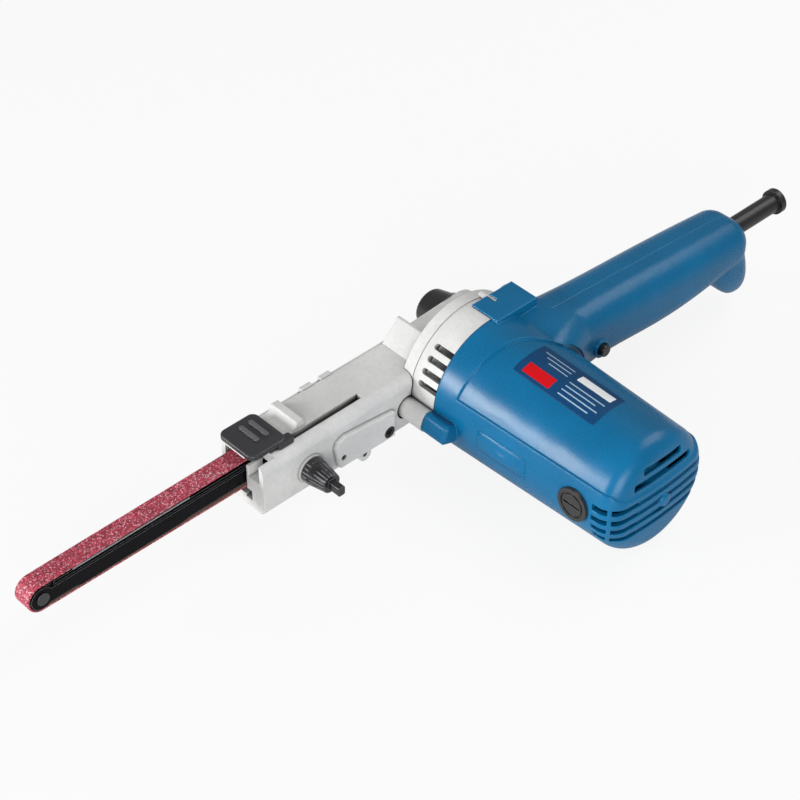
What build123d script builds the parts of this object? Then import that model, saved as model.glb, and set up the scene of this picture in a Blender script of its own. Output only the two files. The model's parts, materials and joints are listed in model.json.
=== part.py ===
"""Narrow belt sander: a cross-mounted motor drives a 9 mm belt along a slim sprung arm.

X points forward to the belt tip, Y runs from the belt side to the motor end, Z points up.
The origin is the middle of the flat face under the motor on which the tool rests.
All lengths are millimetres.
"""
import os
from collections import namedtuple
from math import asin, cos, degrees, pi, radians, sin, sqrt

from build123d import *

os.makedirs("parts", exist_ok=True)

# Reference planes
AXIS_Z = 29.5  # motor axis above the rest face
BELT_Y = -80.0  # middle plane of the sanding belt

# Clearances
RUN_GAP = 0.3  # air between a moving piece and what it passes
SHAFT_GAP = 0.05  # radial play of a shaft in its bore
SEAT_GAP = 0.02  # radial play of a piece pressed on a shaft or into a seat

# Sanding belt
BELT_LENGTH = 533.0
BELT_WIDTH = 9.0
BELT_THICK = 1.0
TIP_ROLLER_R = 5.6
PULLEY_R = 7.5
PULLEY_WIDTH = 11.0

# Gear pair between the motor and the pulley spindle
GEAR_MODULE = 1.0
PINION_TEETH = 16
GEAR_TEETH = 26
GEAR_WIDTH = 4.4
TIP_HEIGHT = 0.8  # tooth height above the pitch circle, in modules
ROOT_DEPTH = 1.25  # tooth depth below the pitch circle, in modules

# Arm between the belt runs
ARM_HALF_Z = 4.4
ARM_HALF_Y = 4.0
ARM_SIDE = 1.0  # thickness of the side plates
ARM_PLATE_TOP = 2.8  # top edge of the side plate above the arm's middle
ARM_PLATE_LOW = 4.2  # lower edge of the side plate below the arm's middle
SHOE_LENGTH = 60.0
SHOE_START = 16.0  # from the tip roller back to the platens
SHOE_THICK = 0.7
TIP_PIN_R = 2.0
ARM_TRAVEL = 6.0

# Arm housing, a channel beside and around the belt
HOUSING_BACK = 27.0
HOUSING_FRONT = 118.0
HOUSING_TOP = 11.5  # above the arm's middle
HOUSING_LOW = 15.7  # below the arm's middle
HOUSING_FAR = 8.5  # from the belt's middle plane to the open far side
HOUSING_NEAR = 17.0  # from the belt's middle plane to the near side
HOUSING_WALL = 2.0
HOUSING_ROUND = 5.0
BELT_ROOM_TOP = 9.3
BELT_ROOM_LOW = 10.5
COVER_THICK = 2.5
COVER_DROP = 1.8  # the cover's top edge below the housing's top

# Sliding carrier that steers the arm
SLIDE_HALF_Z = 3.4
SLIDE_WIDTH = 4.4
SLIDE_Y = 10.2  # middle of the slide, from the belt's middle plane
SLIDE_BACK = 72.0
SLIDE_FRONT = 107.0
CARRIER_BACK = 47.0
CARRIER_FRONT = 85.0
CARRIER_TONGUE = 99.0
CARRIER_WALL = 1.5
CARRIER_END = 8.0
PIVOT_R = 1.6
STEER_ROOM = 0.9  # side room for the arm's tilt
SPRING_R = 2.2
SPRING_WIRE = 0.8
SPRING_TURNS = 5

# Tension tab and its slot
SLOT_BACK = 57.8
SLOT_FRONT = 105.0
SLOT_WIDTH = 3.4
TAB_BACK = 99.5
TAB_FRONT = 119.5
TAB_FAR = -10.3
TAB_NEAR = 12.2
TAB_THICK = 2.2
TAB_LIFT = 1.0  # air between the housing top and the tab
RIDGE_HEIGHT = 3.4
RIDGE_TOP = 4.5  # length of the ridge's crest

# Tracking knob
KNOB_X = 92.2
KNOB_DROP = 4.1  # below the arm's middle
KNOB_R = 6.2
KNOB_LENGTH = 12.0
KNOB_NUB = 6.5
KNOB_COLLAR = 1.2
TRACK_SCREW_R = 2.4

# Gear housing
CHAMBER_R = 12.4
CHAMBER_WALL = 2.0
RING_R = 33.0
RING_WALL = 2.7
FLANGE_R = 33.4
FLANGE_FAR = 10.2  # from the belt's middle plane to the flange's far face
FLANGE_NEAR = 15.8  # from the belt's middle plane to the flange's near face
PULLEY_WALL_Y = 7.0  # from the belt's middle plane to the wall behind the pulley
GEAR_ROOM_Y = 12.0  # from the belt's middle plane to the gear chamber
PLATE_Y = 18.0  # from the belt's middle plane to the bearing plate
SPLIT_Y = 30.3  # from the belt's middle plane to the motor housing
ROOF_RISE = 10.0
ROOF_RUN = 9.0
VENT_ANGLES = (17.0, 27.5, 38.0, 48.5)
LOW_VENT_ANGLES = (-24.0, -35.0, -46.0, -57.0)
VENT_WIDTH = 2.9
BOSS_R = 5.2
BOSS_REACH = 36.0  # from the motor axis to the screw bosses
SIDE_BOSS = -6.0  # angles of the screw bosses about the motor axis
TOP_BOSS = 132.0
LOW_BOSS = 215.0
TOP_BOSS_R = 4.4
TOP_REACH = 35.4  # from the motor axis to the boss under the top block
TOP_BOSS_FAR = 15.4  # from the belt's middle plane to the top boss
TOP_SPLIT = 21.5  # from the belt's middle plane to the seat of the top boss in the block
LUG_ANGLE = 109.0
LUG_R = 2.2
LUG_END = 23.4  # from the belt's middle plane
SCREW_R = 2.0
SCREW_HEAD_R = 3.6
SCREW_HEAD = 2.6

# Motor housing
MOTOR_R_FRONT = 32.7
MOTOR_R_REAR = 29.8
MOTOR_END_Y = 132.5  # from the belt's middle plane to the motor's end
MOTOR_END_ROUND = 9.5
MOTOR_WALL = 2.6
REST_WALL = 2.0
DOME_STEP = 1.0  # depth of the step round the dome
STEP_RISE = 12.2  # the side line above the motor axis
STEP_END = 8.6  # the same line on the motor's end
# The brow line in front of the dome: X, and Y from the belt's middle plane
BROW = ((30.5, 41.0), (20.0, 43.2), (7.0, 45.4), (-2.3, 47.6), (-9.5, 52.0), (-16.7, 59.0))
END_LEAN = 6.0  # degrees by which the domed end falls off at its rim
END_SLOT = 3.0
END_SLOT_PITCH = 5.4
END_SLOT_COUNT = 4
END_SLOT_TOP = 4.8  # the highest level slot above the motor axis
END_GROOVE = 1.4  # depth of the level grooves
END_OPENING = 12.8  # from here to the brush cap the grooves are open
DOME_SLOT = 4.2  # height of the two slots in the dome
# The slots in the dome: X of both ends and height of the middle above the motor axis
DOME_SLOTS = ((-12.0, 11.0, 18.8), (-18.0, 16.2, 12.8))
NUB_X = -1.5  # small rounded nub on the end
NUB_DROP = 2.4  # below the motor axis
NUB_R = 3.3
NUB_PROUD = 2.2  # beyond the rim of the domed end

# Motor inside
SHAFT_R = 4.0
FAN_R = 26.5
STATOR_R = 26.6
STATOR_BORE = 17.4
ARMATURE_R = 16.8
STATOR_START = 42.0
STATOR_LENGTH = 44.0
COMMUTATOR_R = 11.0
BRUSH_Y = 111.0
BRUSH_WIDTH = 6.0
BRUSH_HEIGHT = 8.0
BRUSH_CAP_R = 7.9
REAR_BEARING_Y = 120.5
BEARING_R = 9.5
BEARING_WIDTH = 6.0

# Handle
HANDLE_Y = 40.0  # from the belt's middle plane to the handle's middle
HANDLE_BACK = -154.5
HANDLE_SPLIT_X = -29.0
HANDLE_WALL = 2.6
BLOCK_FRONT = -1.1
BLOCK_BACK = -25.2
BLOCK_TOP = 33.8  # above the motor axis
BLOCK_FAR = 18.6  # from the belt's middle plane
LOCK_X = -44.0
LOCK_RISE = 8.0  # above the motor axis
LOCK_R = 2.9
LOCK_TRAVEL = 2.0
TRIGGER_FRONT = -34.0
TRIGGER_BACK = -68.0
TRIGGER_WIDTH = 12.0
TRIGGER_REACH = 7.5  # below the handle
TRIGGER_TRAVEL = 5.0
GUARD_R = 4.7
GUARD_BORE = 3.3
GUARD_REACH = 29.2  # behind the handle
GUARD_RISE = 9.5  # above the motor axis
GUARD_TIP = HANDLE_BACK - GUARD_REACH

# Worked out from the driving dimensions
SPINDLE_X = -GEAR_MODULE * (PINION_TEETH + GEAR_TEETH) / 2
TIP_MID_R = TIP_ROLLER_R + RUN_GAP + BELT_THICK / 2
PULLEY_MID_R = PULLEY_R + RUN_GAP + BELT_THICK / 2
FREE_LENGTH = BELT_LENGTH - pi * (TIP_MID_R + PULLEY_MID_R)
CENTRES = (FREE_LENGTH + sqrt(FREE_LENGTH**2 - 8 * (PULLEY_MID_R - TIP_MID_R) ** 2)) / 4
TIP_X = SPINDLE_X + CENTRES
BELT_LEAN = asin((PULLEY_MID_R - TIP_MID_R) / CENTRES)


def at_y(distance):
    """Y of a plane at this distance from the belt's middle plane, towards the motor."""
    return BELT_Y + distance


def at_z(height):
    """Z of a point at this height above the motor axis."""
    return AXIS_Z + height


def box(x0, x1, y0, y1, z0, z1):
    """Box between two corners; Y from the belt plane and Z from the motor axis."""
    middle = Pos((x0 + x1) / 2, at_y((y0 + y1) / 2), at_z((z0 + z1) / 2))
    return middle * Box(abs(x1 - x0), abs(y1 - y0), abs(z1 - z0))


def rod_y(radius, y0, y1, x=0.0, z=0.0):
    """Cylinder along Y; Y from the belt plane and Z from the motor axis."""
    return Pos(x, at_y((y0 + y1) / 2), at_z(z)) * Rot(90, 0, 0) * Cylinder(radius, abs(y1 - y0))


def rod_x(radius, x0, x1, y, z):
    """Cylinder along X; Y from the belt plane and Z from the motor axis."""
    return Pos((x0 + x1) / 2, at_y(y), at_z(z)) * Rot(0, 90, 0) * Cylinder(radius, abs(x1 - x0))


def rod_z(radius, z0, z1, x, y):
    """Cylinder along Z; Y from the belt plane and Z from the motor axis."""
    return Pos(x, at_y(y), at_z((z0 + z1) / 2)) * Cylinder(radius, abs(z1 - z0))


def ring_y(outer, inner, y0, y1, x=0.0, z=0.0):
    """Tube along Y."""
    return rod_y(outer, y0, y1, x, z) - rod_y(inner, y0 - 1, y1 + 1, x, z)


def plate_y(face, y0, y1):
    """Extrude a face drawn in X and Z (Z from the motor axis) between two Y planes."""
    plane = Plane((0, at_y(y1), AXIS_Z), x_dir=(1, 0, 0), z_dir=(0, -1, 0))
    return extrude(plane * face, amount=y1 - y0)


def outline(*points):
    """Closed polygon face through (x, z) points."""
    return make_face(Polyline(*points, close=True))


def round_about_motor(solid, angle):
    """Turn a solid about the motor axis, from +X towards +Z."""
    centre = Pos(0, 0, AXIS_Z)
    return centre * Rot(0, -angle, 0) * centre.inverse() * solid


def polar(radius, angle):
    """X and Z (from the motor axis) of a point on a circle about the motor axis."""
    return radius * cos(radians(angle)), radius * sin(radians(angle))


def save(name, shape):
    """Write one node."""
    export_step(shape, f"parts/{name}.step")


def group(solids):
    """Several separate solids as one node."""
    return Compound(children=[solid if isinstance(solid, Solid) else solid.solid() for solid in solids])


# Belt, roller and arm


def run_height(x, offset):
    """Half height of the belt loop at x, offset from the middle of its thickness."""
    return (TIP_MID_R + offset - sin(BELT_LEAN) * (x - TIP_X)) / cos(BELT_LEAN)


def belt_loop(offset):
    """Face inside the loop: two straight runs tangent to the tip and pulley arcs."""
    tip = TIP_MID_R + offset
    pulley = PULLEY_MID_R + offset
    lean_x, lean_z = sin(BELT_LEAN), cos(BELT_LEAN)
    front = (TIP_X + tip * lean_x, tip * lean_z)
    back = (SPINDLE_X + pulley * lean_x, pulley * lean_z)
    front_low = (front[0], -front[1])
    back_low = (back[0], -back[1])
    edges = [
        Line(back, front),
        ThreePointArc(front, (TIP_X + tip, 0), front_low),
        Line(front_low, back_low),
        ThreePointArc(back_low, (SPINDLE_X - pulley, 0), back),
    ]
    return make_face(edges)


def sanding_belt():
    """Endless belt with its outer grit and inner cloth face."""
    half = BELT_WIDTH / 2
    outside = plate_y(belt_loop(BELT_THICK / 2), -half, half)
    return outside - plate_y(belt_loop(-BELT_THICK / 2), -half - 1, half + 1)


ARM_NEAR = ARM_HALF_Y + ARM_SIDE
TIP_PLATE_R = TIP_ROLLER_R - 0.3
SLIDE_FAR = SLIDE_Y - SLIDE_WIDTH / 2
SLIDE_NEAR = SLIDE_Y + SLIDE_WIDTH / 2


def belt_arm():
    """Flat bar between the runs, a fork at the tip and a slide that turns aside past the belt."""
    bar_front = TIP_X - TIP_ROLLER_R - RUN_GAP - 0.7
    bar = box(SLIDE_BACK + 10, bar_front, -ARM_HALF_Y, ARM_HALF_Y, -ARM_HALF_Z, ARM_HALF_Z)
    near = box(HOUSING_FRONT - 12, TIP_X, ARM_HALF_Y, ARM_NEAR, -ARM_PLATE_LOW, ARM_PLATE_TOP)
    near += rod_y(TIP_PLATE_R, ARM_HALF_Y, ARM_NEAR, TIP_X)
    shoe_back = TIP_X - SHOE_START - SHOE_LENGTH
    shoe = ((shoe_back, -ARM_PLATE_LOW), (shoe_back + 6, -TIP_PLATE_R + 0.2))
    shoe += ((TIP_X - SHOE_START - 3, -TIP_PLATE_R + 0.2), (TIP_X - SHOE_START, -ARM_PLATE_LOW))
    near += plate_y(outline(*shoe, (TIP_X - SHOE_START, 0), (shoe_back, 0)), ARM_HALF_Y, ARM_NEAR)
    far = box(TIP_X - 30, TIP_X, -ARM_NEAR, -ARM_HALF_Y, -ARM_PLATE_LOW, ARM_PLATE_LOW)
    far += rod_y(TIP_PLATE_R, -ARM_NEAR, -ARM_HALF_Y, TIP_X)
    bridge = box(SLIDE_FRONT - 12, SLIDE_FRONT, 0, SLIDE_FAR + 1, -SLIDE_HALF_Z, SLIDE_HALF_Z)
    slide = box(SLIDE_BACK, SLIDE_FRONT, SLIDE_FAR, SLIDE_NEAR, -SLIDE_HALF_Z, SLIDE_HALF_Z)
    arm = bar + near + far + bridge + slide
    return arm - rod_y(TIP_PIN_R + SEAT_GAP, -ARM_NEAR - 1, ARM_NEAR + 1, TIP_X)


def platens():
    """Spring strips on the bar, under the two runs."""
    back = TIP_X - SHOE_START - SHOE_LENGTH
    front = TIP_X - SHOE_START
    strips = []
    for side in (1, -1):
        low, high = side * ARM_HALF_Z, side * (ARM_HALF_Z + SHOE_THICK)
        strips.append(box(back, front, -ARM_HALF_Y, ARM_HALF_Y, min(low, high), max(low, high)))
    return group(strips)


def tip_roller():
    """Crowned steel roller at the tip."""
    half = ARM_HALF_Y - RUN_GAP
    crown = ((TIP_PIN_R + SHAFT_GAP, -half), (TIP_ROLLER_R - 0.25, -half), (TIP_ROLLER_R, -half / 3))
    crown += ((TIP_ROLLER_R, half / 3), (TIP_ROLLER_R - 0.25, half), (TIP_PIN_R + SHAFT_GAP, half))
    turned = revolve(Plane.XY * outline(*crown), Axis.Y, 360)
    return Pos(TIP_X, BELT_Y, AXIS_Z) * turned


def tip_pin():
    """Riveted axle of the tip roller with a flat head on the near side."""
    pin = rod_y(TIP_PIN_R, -ARM_NEAR - 0.4, ARM_NEAR, TIP_X)
    return pin + rod_y(TIP_PIN_R + 0.9, ARM_NEAR, ARM_NEAR + 0.6, TIP_X)


CARRIER_FAR = SLIDE_FAR - 0.6
CARRIER_NEAR = SLIDE_NEAR + RUN_GAP + CARRIER_WALL
CARRIER_HALF_Z = SLIDE_HALF_Z + RUN_GAP + CARRIER_WALL + 0.5
PIVOT_X = CARRIER_BACK + CARRIER_END - 2.4


def arm_carrier():
    """Channel that guides the slide and turns on a pin, so that the arm can be steered."""
    outside = box(CARRIER_BACK, CARRIER_FRONT, CARRIER_FAR, CARRIER_NEAR, -CARRIER_HALF_Z, CARRIER_HALF_Z)
    room = SLIDE_HALF_Z + RUN_GAP
    near_room = SLIDE_NEAR + RUN_GAP
    outside -= box(CARRIER_BACK + CARRIER_END, CARRIER_FRONT + 1, CARRIER_FAR - 1, near_room, -room, room)
    tongue = box(CARRIER_FRONT, CARRIER_TONGUE, near_room, CARRIER_NEAR, -CARRIER_HALF_Z, CARRIER_HALF_Z)
    return outside + tongue - rod_z(PIVOT_R + SHAFT_GAP, -HOUSING_LOW, HOUSING_TOP, PIVOT_X, SLIDE_Y)


def pivot_pin():
    """Upright pin of the carrier, pressed in from below."""
    return rod_z(PIVOT_R, -HOUSING_LOW, CARRIER_HALF_Z + RUN_GAP + 2, PIVOT_X, SLIDE_Y)


def tension_spring():
    """Coil that pushes the arm forward out of the carrier."""
    start = CARRIER_BACK + CARRIER_END + SPRING_WIRE / 2 + 0.1
    length = SLIDE_BACK - start - SPRING_WIRE / 2 - 0.1
    radius = SPRING_R - SPRING_WIRE / 2
    path = Helix(length / SPRING_TURNS, length, radius)
    section = Plane(path @ 0, z_dir=path % 0) * Circle(SPRING_WIRE / 2)
    coil = sweep(section, path)
    return Pos(start, at_y(SLIDE_Y), AXIS_Z) * Rot(0, 90, 0) * coil


TAB_LOW = HOUSING_TOP + TAB_LIFT
TAB_TOP = TAB_LOW + TAB_THICK


def tension_tab():
    """Thumb tab above the belt, joined to the slide by a foot through the housing's slot."""
    width = TAB_NEAR - TAB_FAR
    middle = Pos((TAB_BACK + TAB_FRONT) / 2, at_y((TAB_NEAR + TAB_FAR) / 2), at_z((TAB_LOW + TAB_TOP) / 2))
    tab = middle * extrude(RectangleRounded(TAB_FRONT - TAB_BACK, width, 3.5), TAB_THICK / 2, both=True)
    tab = fillet(tab.faces().sort_by(Axis.Z)[-1].edges(), 0.8)
    for step in (0.28, 0.54):
        rib_x = TAB_BACK + step * (TAB_FRONT - TAB_BACK)
        rib = box(rib_x - 1.1, rib_x + 1.1, TAB_FAR + 4, TAB_NEAR - 6.5, TAB_TOP - 0.5, TAB_TOP + 0.8)
        tab += fillet(rib.edges().filter_by(Axis.Z), 1.0)
    foot_half = SLOT_WIDTH / 2 - STEER_ROOM
    foot_front = SLOT_FRONT - RUN_GAP
    foot = box(TAB_BACK, foot_front, SLIDE_Y - foot_half, SLIDE_Y + foot_half, SLIDE_HALF_Z, TAB_LOW + 0.5)
    stem_low, stem_top = HOUSING_TOP + RUN_GAP, TAB_TOP - 0.6
    stem = box(TAB_BACK - 2.5, foot_front + 0.7, SLIDE_Y - 1.2, SLIDE_Y + 3.2, stem_low, stem_top)
    return tab + foot + fillet(stem.edges().filter_by(Axis.Z), 1.0)


def tracking_knob():
    """Fluted knob with a finger bar and the screw that leans on the carrier."""
    base = HOUSING_NEAR + KNOB_COLLAR + RUN_GAP
    end = base + KNOB_LENGTH
    profile = outline((0, base), (KNOB_R, base), (KNOB_R, base + 2.5), (KNOB_R - 1.6, end), (0, end))
    body = Pos(0, BELT_Y, 0) * revolve(Plane.XY * profile, Axis.Y, 360)
    along = Rot(90, 0, 0)
    flute = Pos(KNOB_R + 0.5, at_y(base + 2.5 + KNOB_LENGTH / 2), 0) * along * Cylinder(1.1, KNOB_LENGTH)
    for turn in range(12):
        body -= Rot(0, turn * 30, 0) * flute
    bar = Pos(0, at_y(end + KNOB_NUB / 2 - 1), 0) * Box(3.6, KNOB_NUB + 2, 4.6)
    body += fillet(bar.edges().filter_by(Axis.Y), 0.8)
    screw_end = CARRIER_NEAR + 0.45
    screw = Cylinder(TRACK_SCREW_R, base - screw_end)
    screw = Pos(0, at_y((screw_end + base) / 2), 0) * along * screw
    return Pos(KNOB_X, 0, at_z(-KNOB_DROP)) * (body + screw)


# Arm housing and its covers


def housing_section(room):
    """Side outline of the arm housing, grown by room."""
    return outline(
        (HOUSING_BACK - room, -HOUSING_LOW - room),
        (HOUSING_FRONT + room, -HOUSING_LOW - room),
        (HOUSING_FRONT + room, HOUSING_TOP + room),
        (HOUSING_BACK - room, HOUSING_TOP + room),
    )


TONGUE_FRONT = 80.0
TONGUE_TOP = -7.0
TONGUE_LOW = -12.5
TONGUE_FAR = 8.0
TONGUE_NEAR = 13.0
ARM_SCREW_X = 48.4
ARM_SCREW_Z = -9.5
PAD_BACK = 45.0
PAD_FRONT = 79.0
PAD_PROUD = 2.4
EAR_X = 62.6
EAR_Z = -14.0
EAR_R = 3.3
POCKET_FRONT = SLIDE_FRONT + 3


def side_pad():
    """Raised pad on the near side with rounded edges and an ear at its lower edge."""
    face = outline(
        (PAD_BACK, -13.4),
        (PAD_BACK, 0.6),
        (PAD_FRONT - 13, 2.8),
        (PAD_FRONT - 5, 3.6),
        (PAD_FRONT - 1, 2.0),
        (PAD_FRONT + 0.3, -1.0),
        (PAD_FRONT - 1, -9.5),
        (PAD_FRONT - 2, -13.0),
    )
    pad = plate_y(fillet(face.vertices(), 0.9), HOUSING_NEAR - 0.5, HOUSING_NEAR + PAD_PROUD)
    pad = fillet(pad.faces().sort_by(Axis.Y)[-1].edges(), 0.7)
    return pad + rod_y(EAR_R, HOUSING_NEAR - 4, HOUSING_NEAR + PAD_PROUD - 0.4, EAR_X, EAR_Z)


def tab_ridge():
    """Cross ridge behind the tab: a hollow ramp in front, a short crest and a steep back."""
    crest = TAB_BACK - ARM_TRAVEL - 2.4
    top = HOUSING_TOP + RIDGE_HEIGHT
    back = crest - RIDGE_TOP
    ramp = ThreePointArc((crest + 5, HOUSING_TOP), (crest + 1.6, HOUSING_TOP + 0.8), (crest, top))
    rest = Polyline((crest, top), (back + 1.0, top), (back, HOUSING_TOP), (back, HOUSING_TOP - 1))
    close = Polyline((back, HOUSING_TOP - 1), (crest + 5, HOUSING_TOP - 1), (crest + 5, HOUSING_TOP))
    face = make_face(ramp.edges() + rest.edges() + close.edges())
    return plate_y(face, -HOUSING_FAR, SLIDE_Y - SLOT_WIDTH / 2 - 0.4)


def arm_housing():
    """Cast channel: belt room open to the far side, slide room, slot, mouth, pad and knob collar."""
    body = plate_y(housing_section(0), -HOUSING_FAR, HOUSING_NEAR)
    near_edges = body.edges().filter_by(Axis.X).group_by(Axis.Y)[-1]
    body = fillet(near_edges.sort_by(Axis.Z)[-1], HOUSING_ROUND)
    body = fillet(body.edges().filter_by(Axis.X).group_by(Axis.Y)[-1].sort_by(Axis.Z)[0], 2.5)
    body += side_pad() + tab_ridge()
    body += rod_y(KNOB_R + 0.7, HOUSING_NEAR - 1, HOUSING_NEAR + KNOB_COLLAR, KNOB_X, -KNOB_DROP)
    belt_near = ARM_NEAR + STEER_ROOM + RUN_GAP
    body -= box(
        HOUSING_BACK - 1, HOUSING_FRONT + 1, -HOUSING_FAR - 1, belt_near, -BELT_ROOM_LOW, BELT_ROOM_TOP
    )
    slide_near = CARRIER_NEAR + STEER_ROOM
    slide_half = CARRIER_HALF_Z + RUN_GAP
    body -= box(CARRIER_BACK - 1, POCKET_FRONT, belt_near - 1, slide_near, -slide_half, slide_half)
    slot_far, slot_near = SLIDE_Y - SLOT_WIDTH / 2, SLIDE_Y + SLOT_WIDTH / 2
    body -= box(SLOT_BACK, SLOT_FRONT, slot_far, slot_near, 0, HOUSING_TOP + RIDGE_HEIGHT)
    notch_back, notch_front, notch_top = POCKET_FRONT - 0.5, HOUSING_FRONT + 1, HOUSING_TOP + 1
    body -= box(notch_back, notch_front, belt_near + 1.3, SLIDE_Y + 4.2, 0.8, notch_top)
    body -= box(notch_back, notch_front, belt_near - 1, belt_near + 2, 6.5, notch_top)
    body -= box(HOUSING_FRONT - 5, HOUSING_FRONT + 1, belt_near - 1, belt_near + 3, -12.0, -6.5)
    body -= rod_y(TRACK_SCREW_R + SHAFT_GAP, slide_near - 1, HOUSING_NEAR + 5, KNOB_X, -KNOB_DROP)
    body -= rod_z(PIVOT_R + SEAT_GAP, -HOUSING_LOW - 1, slide_half + 2.1, PIVOT_X, SLIDE_Y)
    body -= tongue(RUN_GAP / 3, 1.0)
    body -= rod_y(FLANGE_R + RUN_GAP, FLANGE_FAR - RUN_GAP, HOUSING_NEAR + 5)
    boss_x, boss_z = polar(BOSS_REACH, SIDE_BOSS)
    body -= rod_y(BOSS_R + 0.8, GEAR_ROOM_Y - 1 - RUN_GAP, HOUSING_NEAR + 5, boss_x, boss_z)
    hole_end = HOUSING_NEAR + PAD_PROUD
    body -= rod_y(SCREW_R + SEAT_GAP, TONGUE_FAR, hole_end + 1, ARM_SCREW_X, ARM_SCREW_Z)
    body -= rod_y(SCREW_HEAD_R - 0.6, hole_end - SCREW_HEAD, hole_end + 1, ARM_SCREW_X, ARM_SCREW_Z)
    body -= rod_y(1.4, HOUSING_NEAR - 1.5, hole_end + 1, PAD_FRONT - 3.9, -7.6)
    body -= rod_y(1.15, HOUSING_NEAR - 2, hole_end + 1, EAR_X, EAR_Z)
    for x, z in COVER_SCREWS:
        body -= rod_y(SCREW_HOLE_R, -HOUSING_FAR - 1, -HOUSING_FAR + 5, x, z)
    return body.solid()


def tongue(room, extra):
    """Tongue of the gear housing inside the arm housing, grown by room."""
    return box(
        HOUSING_BACK - extra,
        TONGUE_FRONT + room,
        TONGUE_FAR - room,
        TONGUE_NEAR + room,
        TONGUE_LOW - room,
        TONGUE_TOP + room,
    )


def arm_screw():
    """Screw through the pad into the tongue."""
    end = HOUSING_NEAR + PAD_PROUD
    head = rod_y(SCREW_HEAD_R - 0.7, end - SCREW_HEAD, end - 0.3, ARM_SCREW_X, ARM_SCREW_Z)
    head -= rod_y(1.5, end - 1.6, end, ARM_SCREW_X, ARM_SCREW_Z)
    return head + rod_y(SCREW_R, TONGUE_FAR + 1, end - SCREW_HEAD, ARM_SCREW_X, ARM_SCREW_Z)


COVER_SCREWS = ((HOUSING_FRONT - 5, -12.5), (HOUSING_BACK + 6, -12.5), (HOUSING_BACK - 25, -12.3))
CAP_X = -15.4
CAP_RISE = 1.1  # above the motor axis
CAP_R = 11.4
CAP_END_R = 8.6
CAP_DEPTH = 12.5
CAP_WALL = 1.8
SPOUT_R = 4.7
SPOUT_BORE = 3.3
SPOUT_FAIRING = 22.0
SPOUT_ROOT = 0.6
SPOUT_REACH = 31.0
SPOUT_DROP = 23.0  # degrees below level


def belt_cover():
    """Plate that closes the far side of the belt room, open at the dust cap."""
    top = HOUSING_TOP - COVER_DROP
    face = outline(
        (SPINDLE_X, -CHAMBER_R),
        (HOUSING_BACK, -HOUSING_LOW),
        (HOUSING_FRONT - 1, -HOUSING_LOW),
        (HOUSING_FRONT - 1, top),
        (HOUSING_BACK, top),
        (SPINDLE_X, CHAMBER_R),
    )
    near = -HOUSING_FAR
    far = near - COVER_THICK
    plate = plate_y(face, far, near) + rod_y(CHAMBER_R, far, near, SPINDLE_X)
    for lug in (0.36, 0.48):
        lug_x = HOUSING_BACK + lug * (HOUSING_FRONT - HOUSING_BACK)
        plate += box(lug_x - 3, lug_x + 3, far, near, HOUSING_TOP - 3, HOUSING_TOP + 0.3)
    plate -= rod_y(CAP_R - CAP_WALL, far - 1, near + 1, CAP_X, CAP_RISE)
    for x, z in COVER_SCREWS:
        plate -= rod_y(SCREW_HOLE_R, far - 1, near + 1, x, z)
    return plate.solid()


SCREW_HOLE_R = 1.1 + SEAT_GAP


def cover_screws():
    """Small screws that hold the belt cover."""
    far = -HOUSING_FAR - COVER_THICK
    screws = []
    for x, z in COVER_SCREWS:
        screw = rod_y(SCREW_HOLE_R - SEAT_GAP, far, far + 7, x, z) + rod_y(2.2, far - 1.6, far, x, z)
        screws.append(screw - box(x - 2.5, x + 2.5, far - 2, far - 1, z - 0.3, z + 0.3))
    return group(screws)


def turned_cap(profile):
    """Solid of revolution about the cap's middle from radius and Y points."""
    return Pos(CAP_X, BELT_Y, at_z(CAP_RISE)) * revolve(Plane.XY * outline(*profile), Axis.Y, 360)


def pulley_cap():
    """Black dust cap beside the pulley, drawn out into a spout to the rear."""
    near = -HOUSING_FAR - COVER_THICK
    far = near - CAP_DEPTH
    cap = turned_cap(((0, near), (CAP_R, near), (CAP_END_R, far), (0, far)))
    cap = fillet(cap.faces().sort_by(Axis.Y)[0].edges(), 2.4)
    turn = Pos(CAP_X, at_y((near + far) / 2), at_z(CAP_RISE)) * Rot(0, -SPOUT_DROP, 0)
    thick = 2 * SPOUT_R + 0.8
    start = Plane((0, 0, 0), x_dir=(0, 1, 0), z_dir=(-1, 0, 0)) * rounded(thick, 2 * CAP_END_R - 0.8, 2.5)
    end = Plane((-SPOUT_FAIRING, 0, 0), x_dir=(0, 1, 0), z_dir=(-1, 0, 0)) * rounded(thick, thick, 2.5)
    cap += turn * loft([start, end])
    root = Rot(0, -90, 0) * Cone(SPOUT_R + 0.3, SPOUT_R, SPOUT_ROOT)
    cap += turn * Pos(-SPOUT_FAIRING - SPOUT_ROOT / 2, 0, 0) * root
    cap += turn * Pos(-SPOUT_REACH / 2, 0, 0) * Rot(0, 90, 0) * Cylinder(SPOUT_R, SPOUT_REACH)
    inner, inner_end = CAP_R - CAP_WALL, CAP_END_R - CAP_WALL - 0.6
    deep = far + CAP_WALL
    cap -= turned_cap(((0, near + 1), (inner, near + 1), (inner, near), (inner_end, deep), (0, deep)))
    bore = turn * Pos(-SPOUT_REACH / 2 - 4, 0, 0) * Rot(0, 90, 0) * Cylinder(SPOUT_BORE, SPOUT_REACH)
    return (cap - bore).solid()


# Gear train


def gear_face(teeth, phase):
    """Straight-flanked spur teeth, thinned for easy running."""
    pitch = 2 * pi / teeth
    root = GEAR_MODULE * (teeth / 2 - ROOT_DEPTH)
    tip = GEAR_MODULE * (teeth / 2 + TIP_HEIGHT)
    points = []
    for tooth in range(teeth):
        middle = phase + tooth * pitch
        for radius, part in ((root, -0.2), (tip, -0.09), (tip, 0.09), (root, 0.2)):
            angle = middle + part * pitch
            points.append((radius * cos(angle), radius * sin(angle)))
    return outline(*points)


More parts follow.
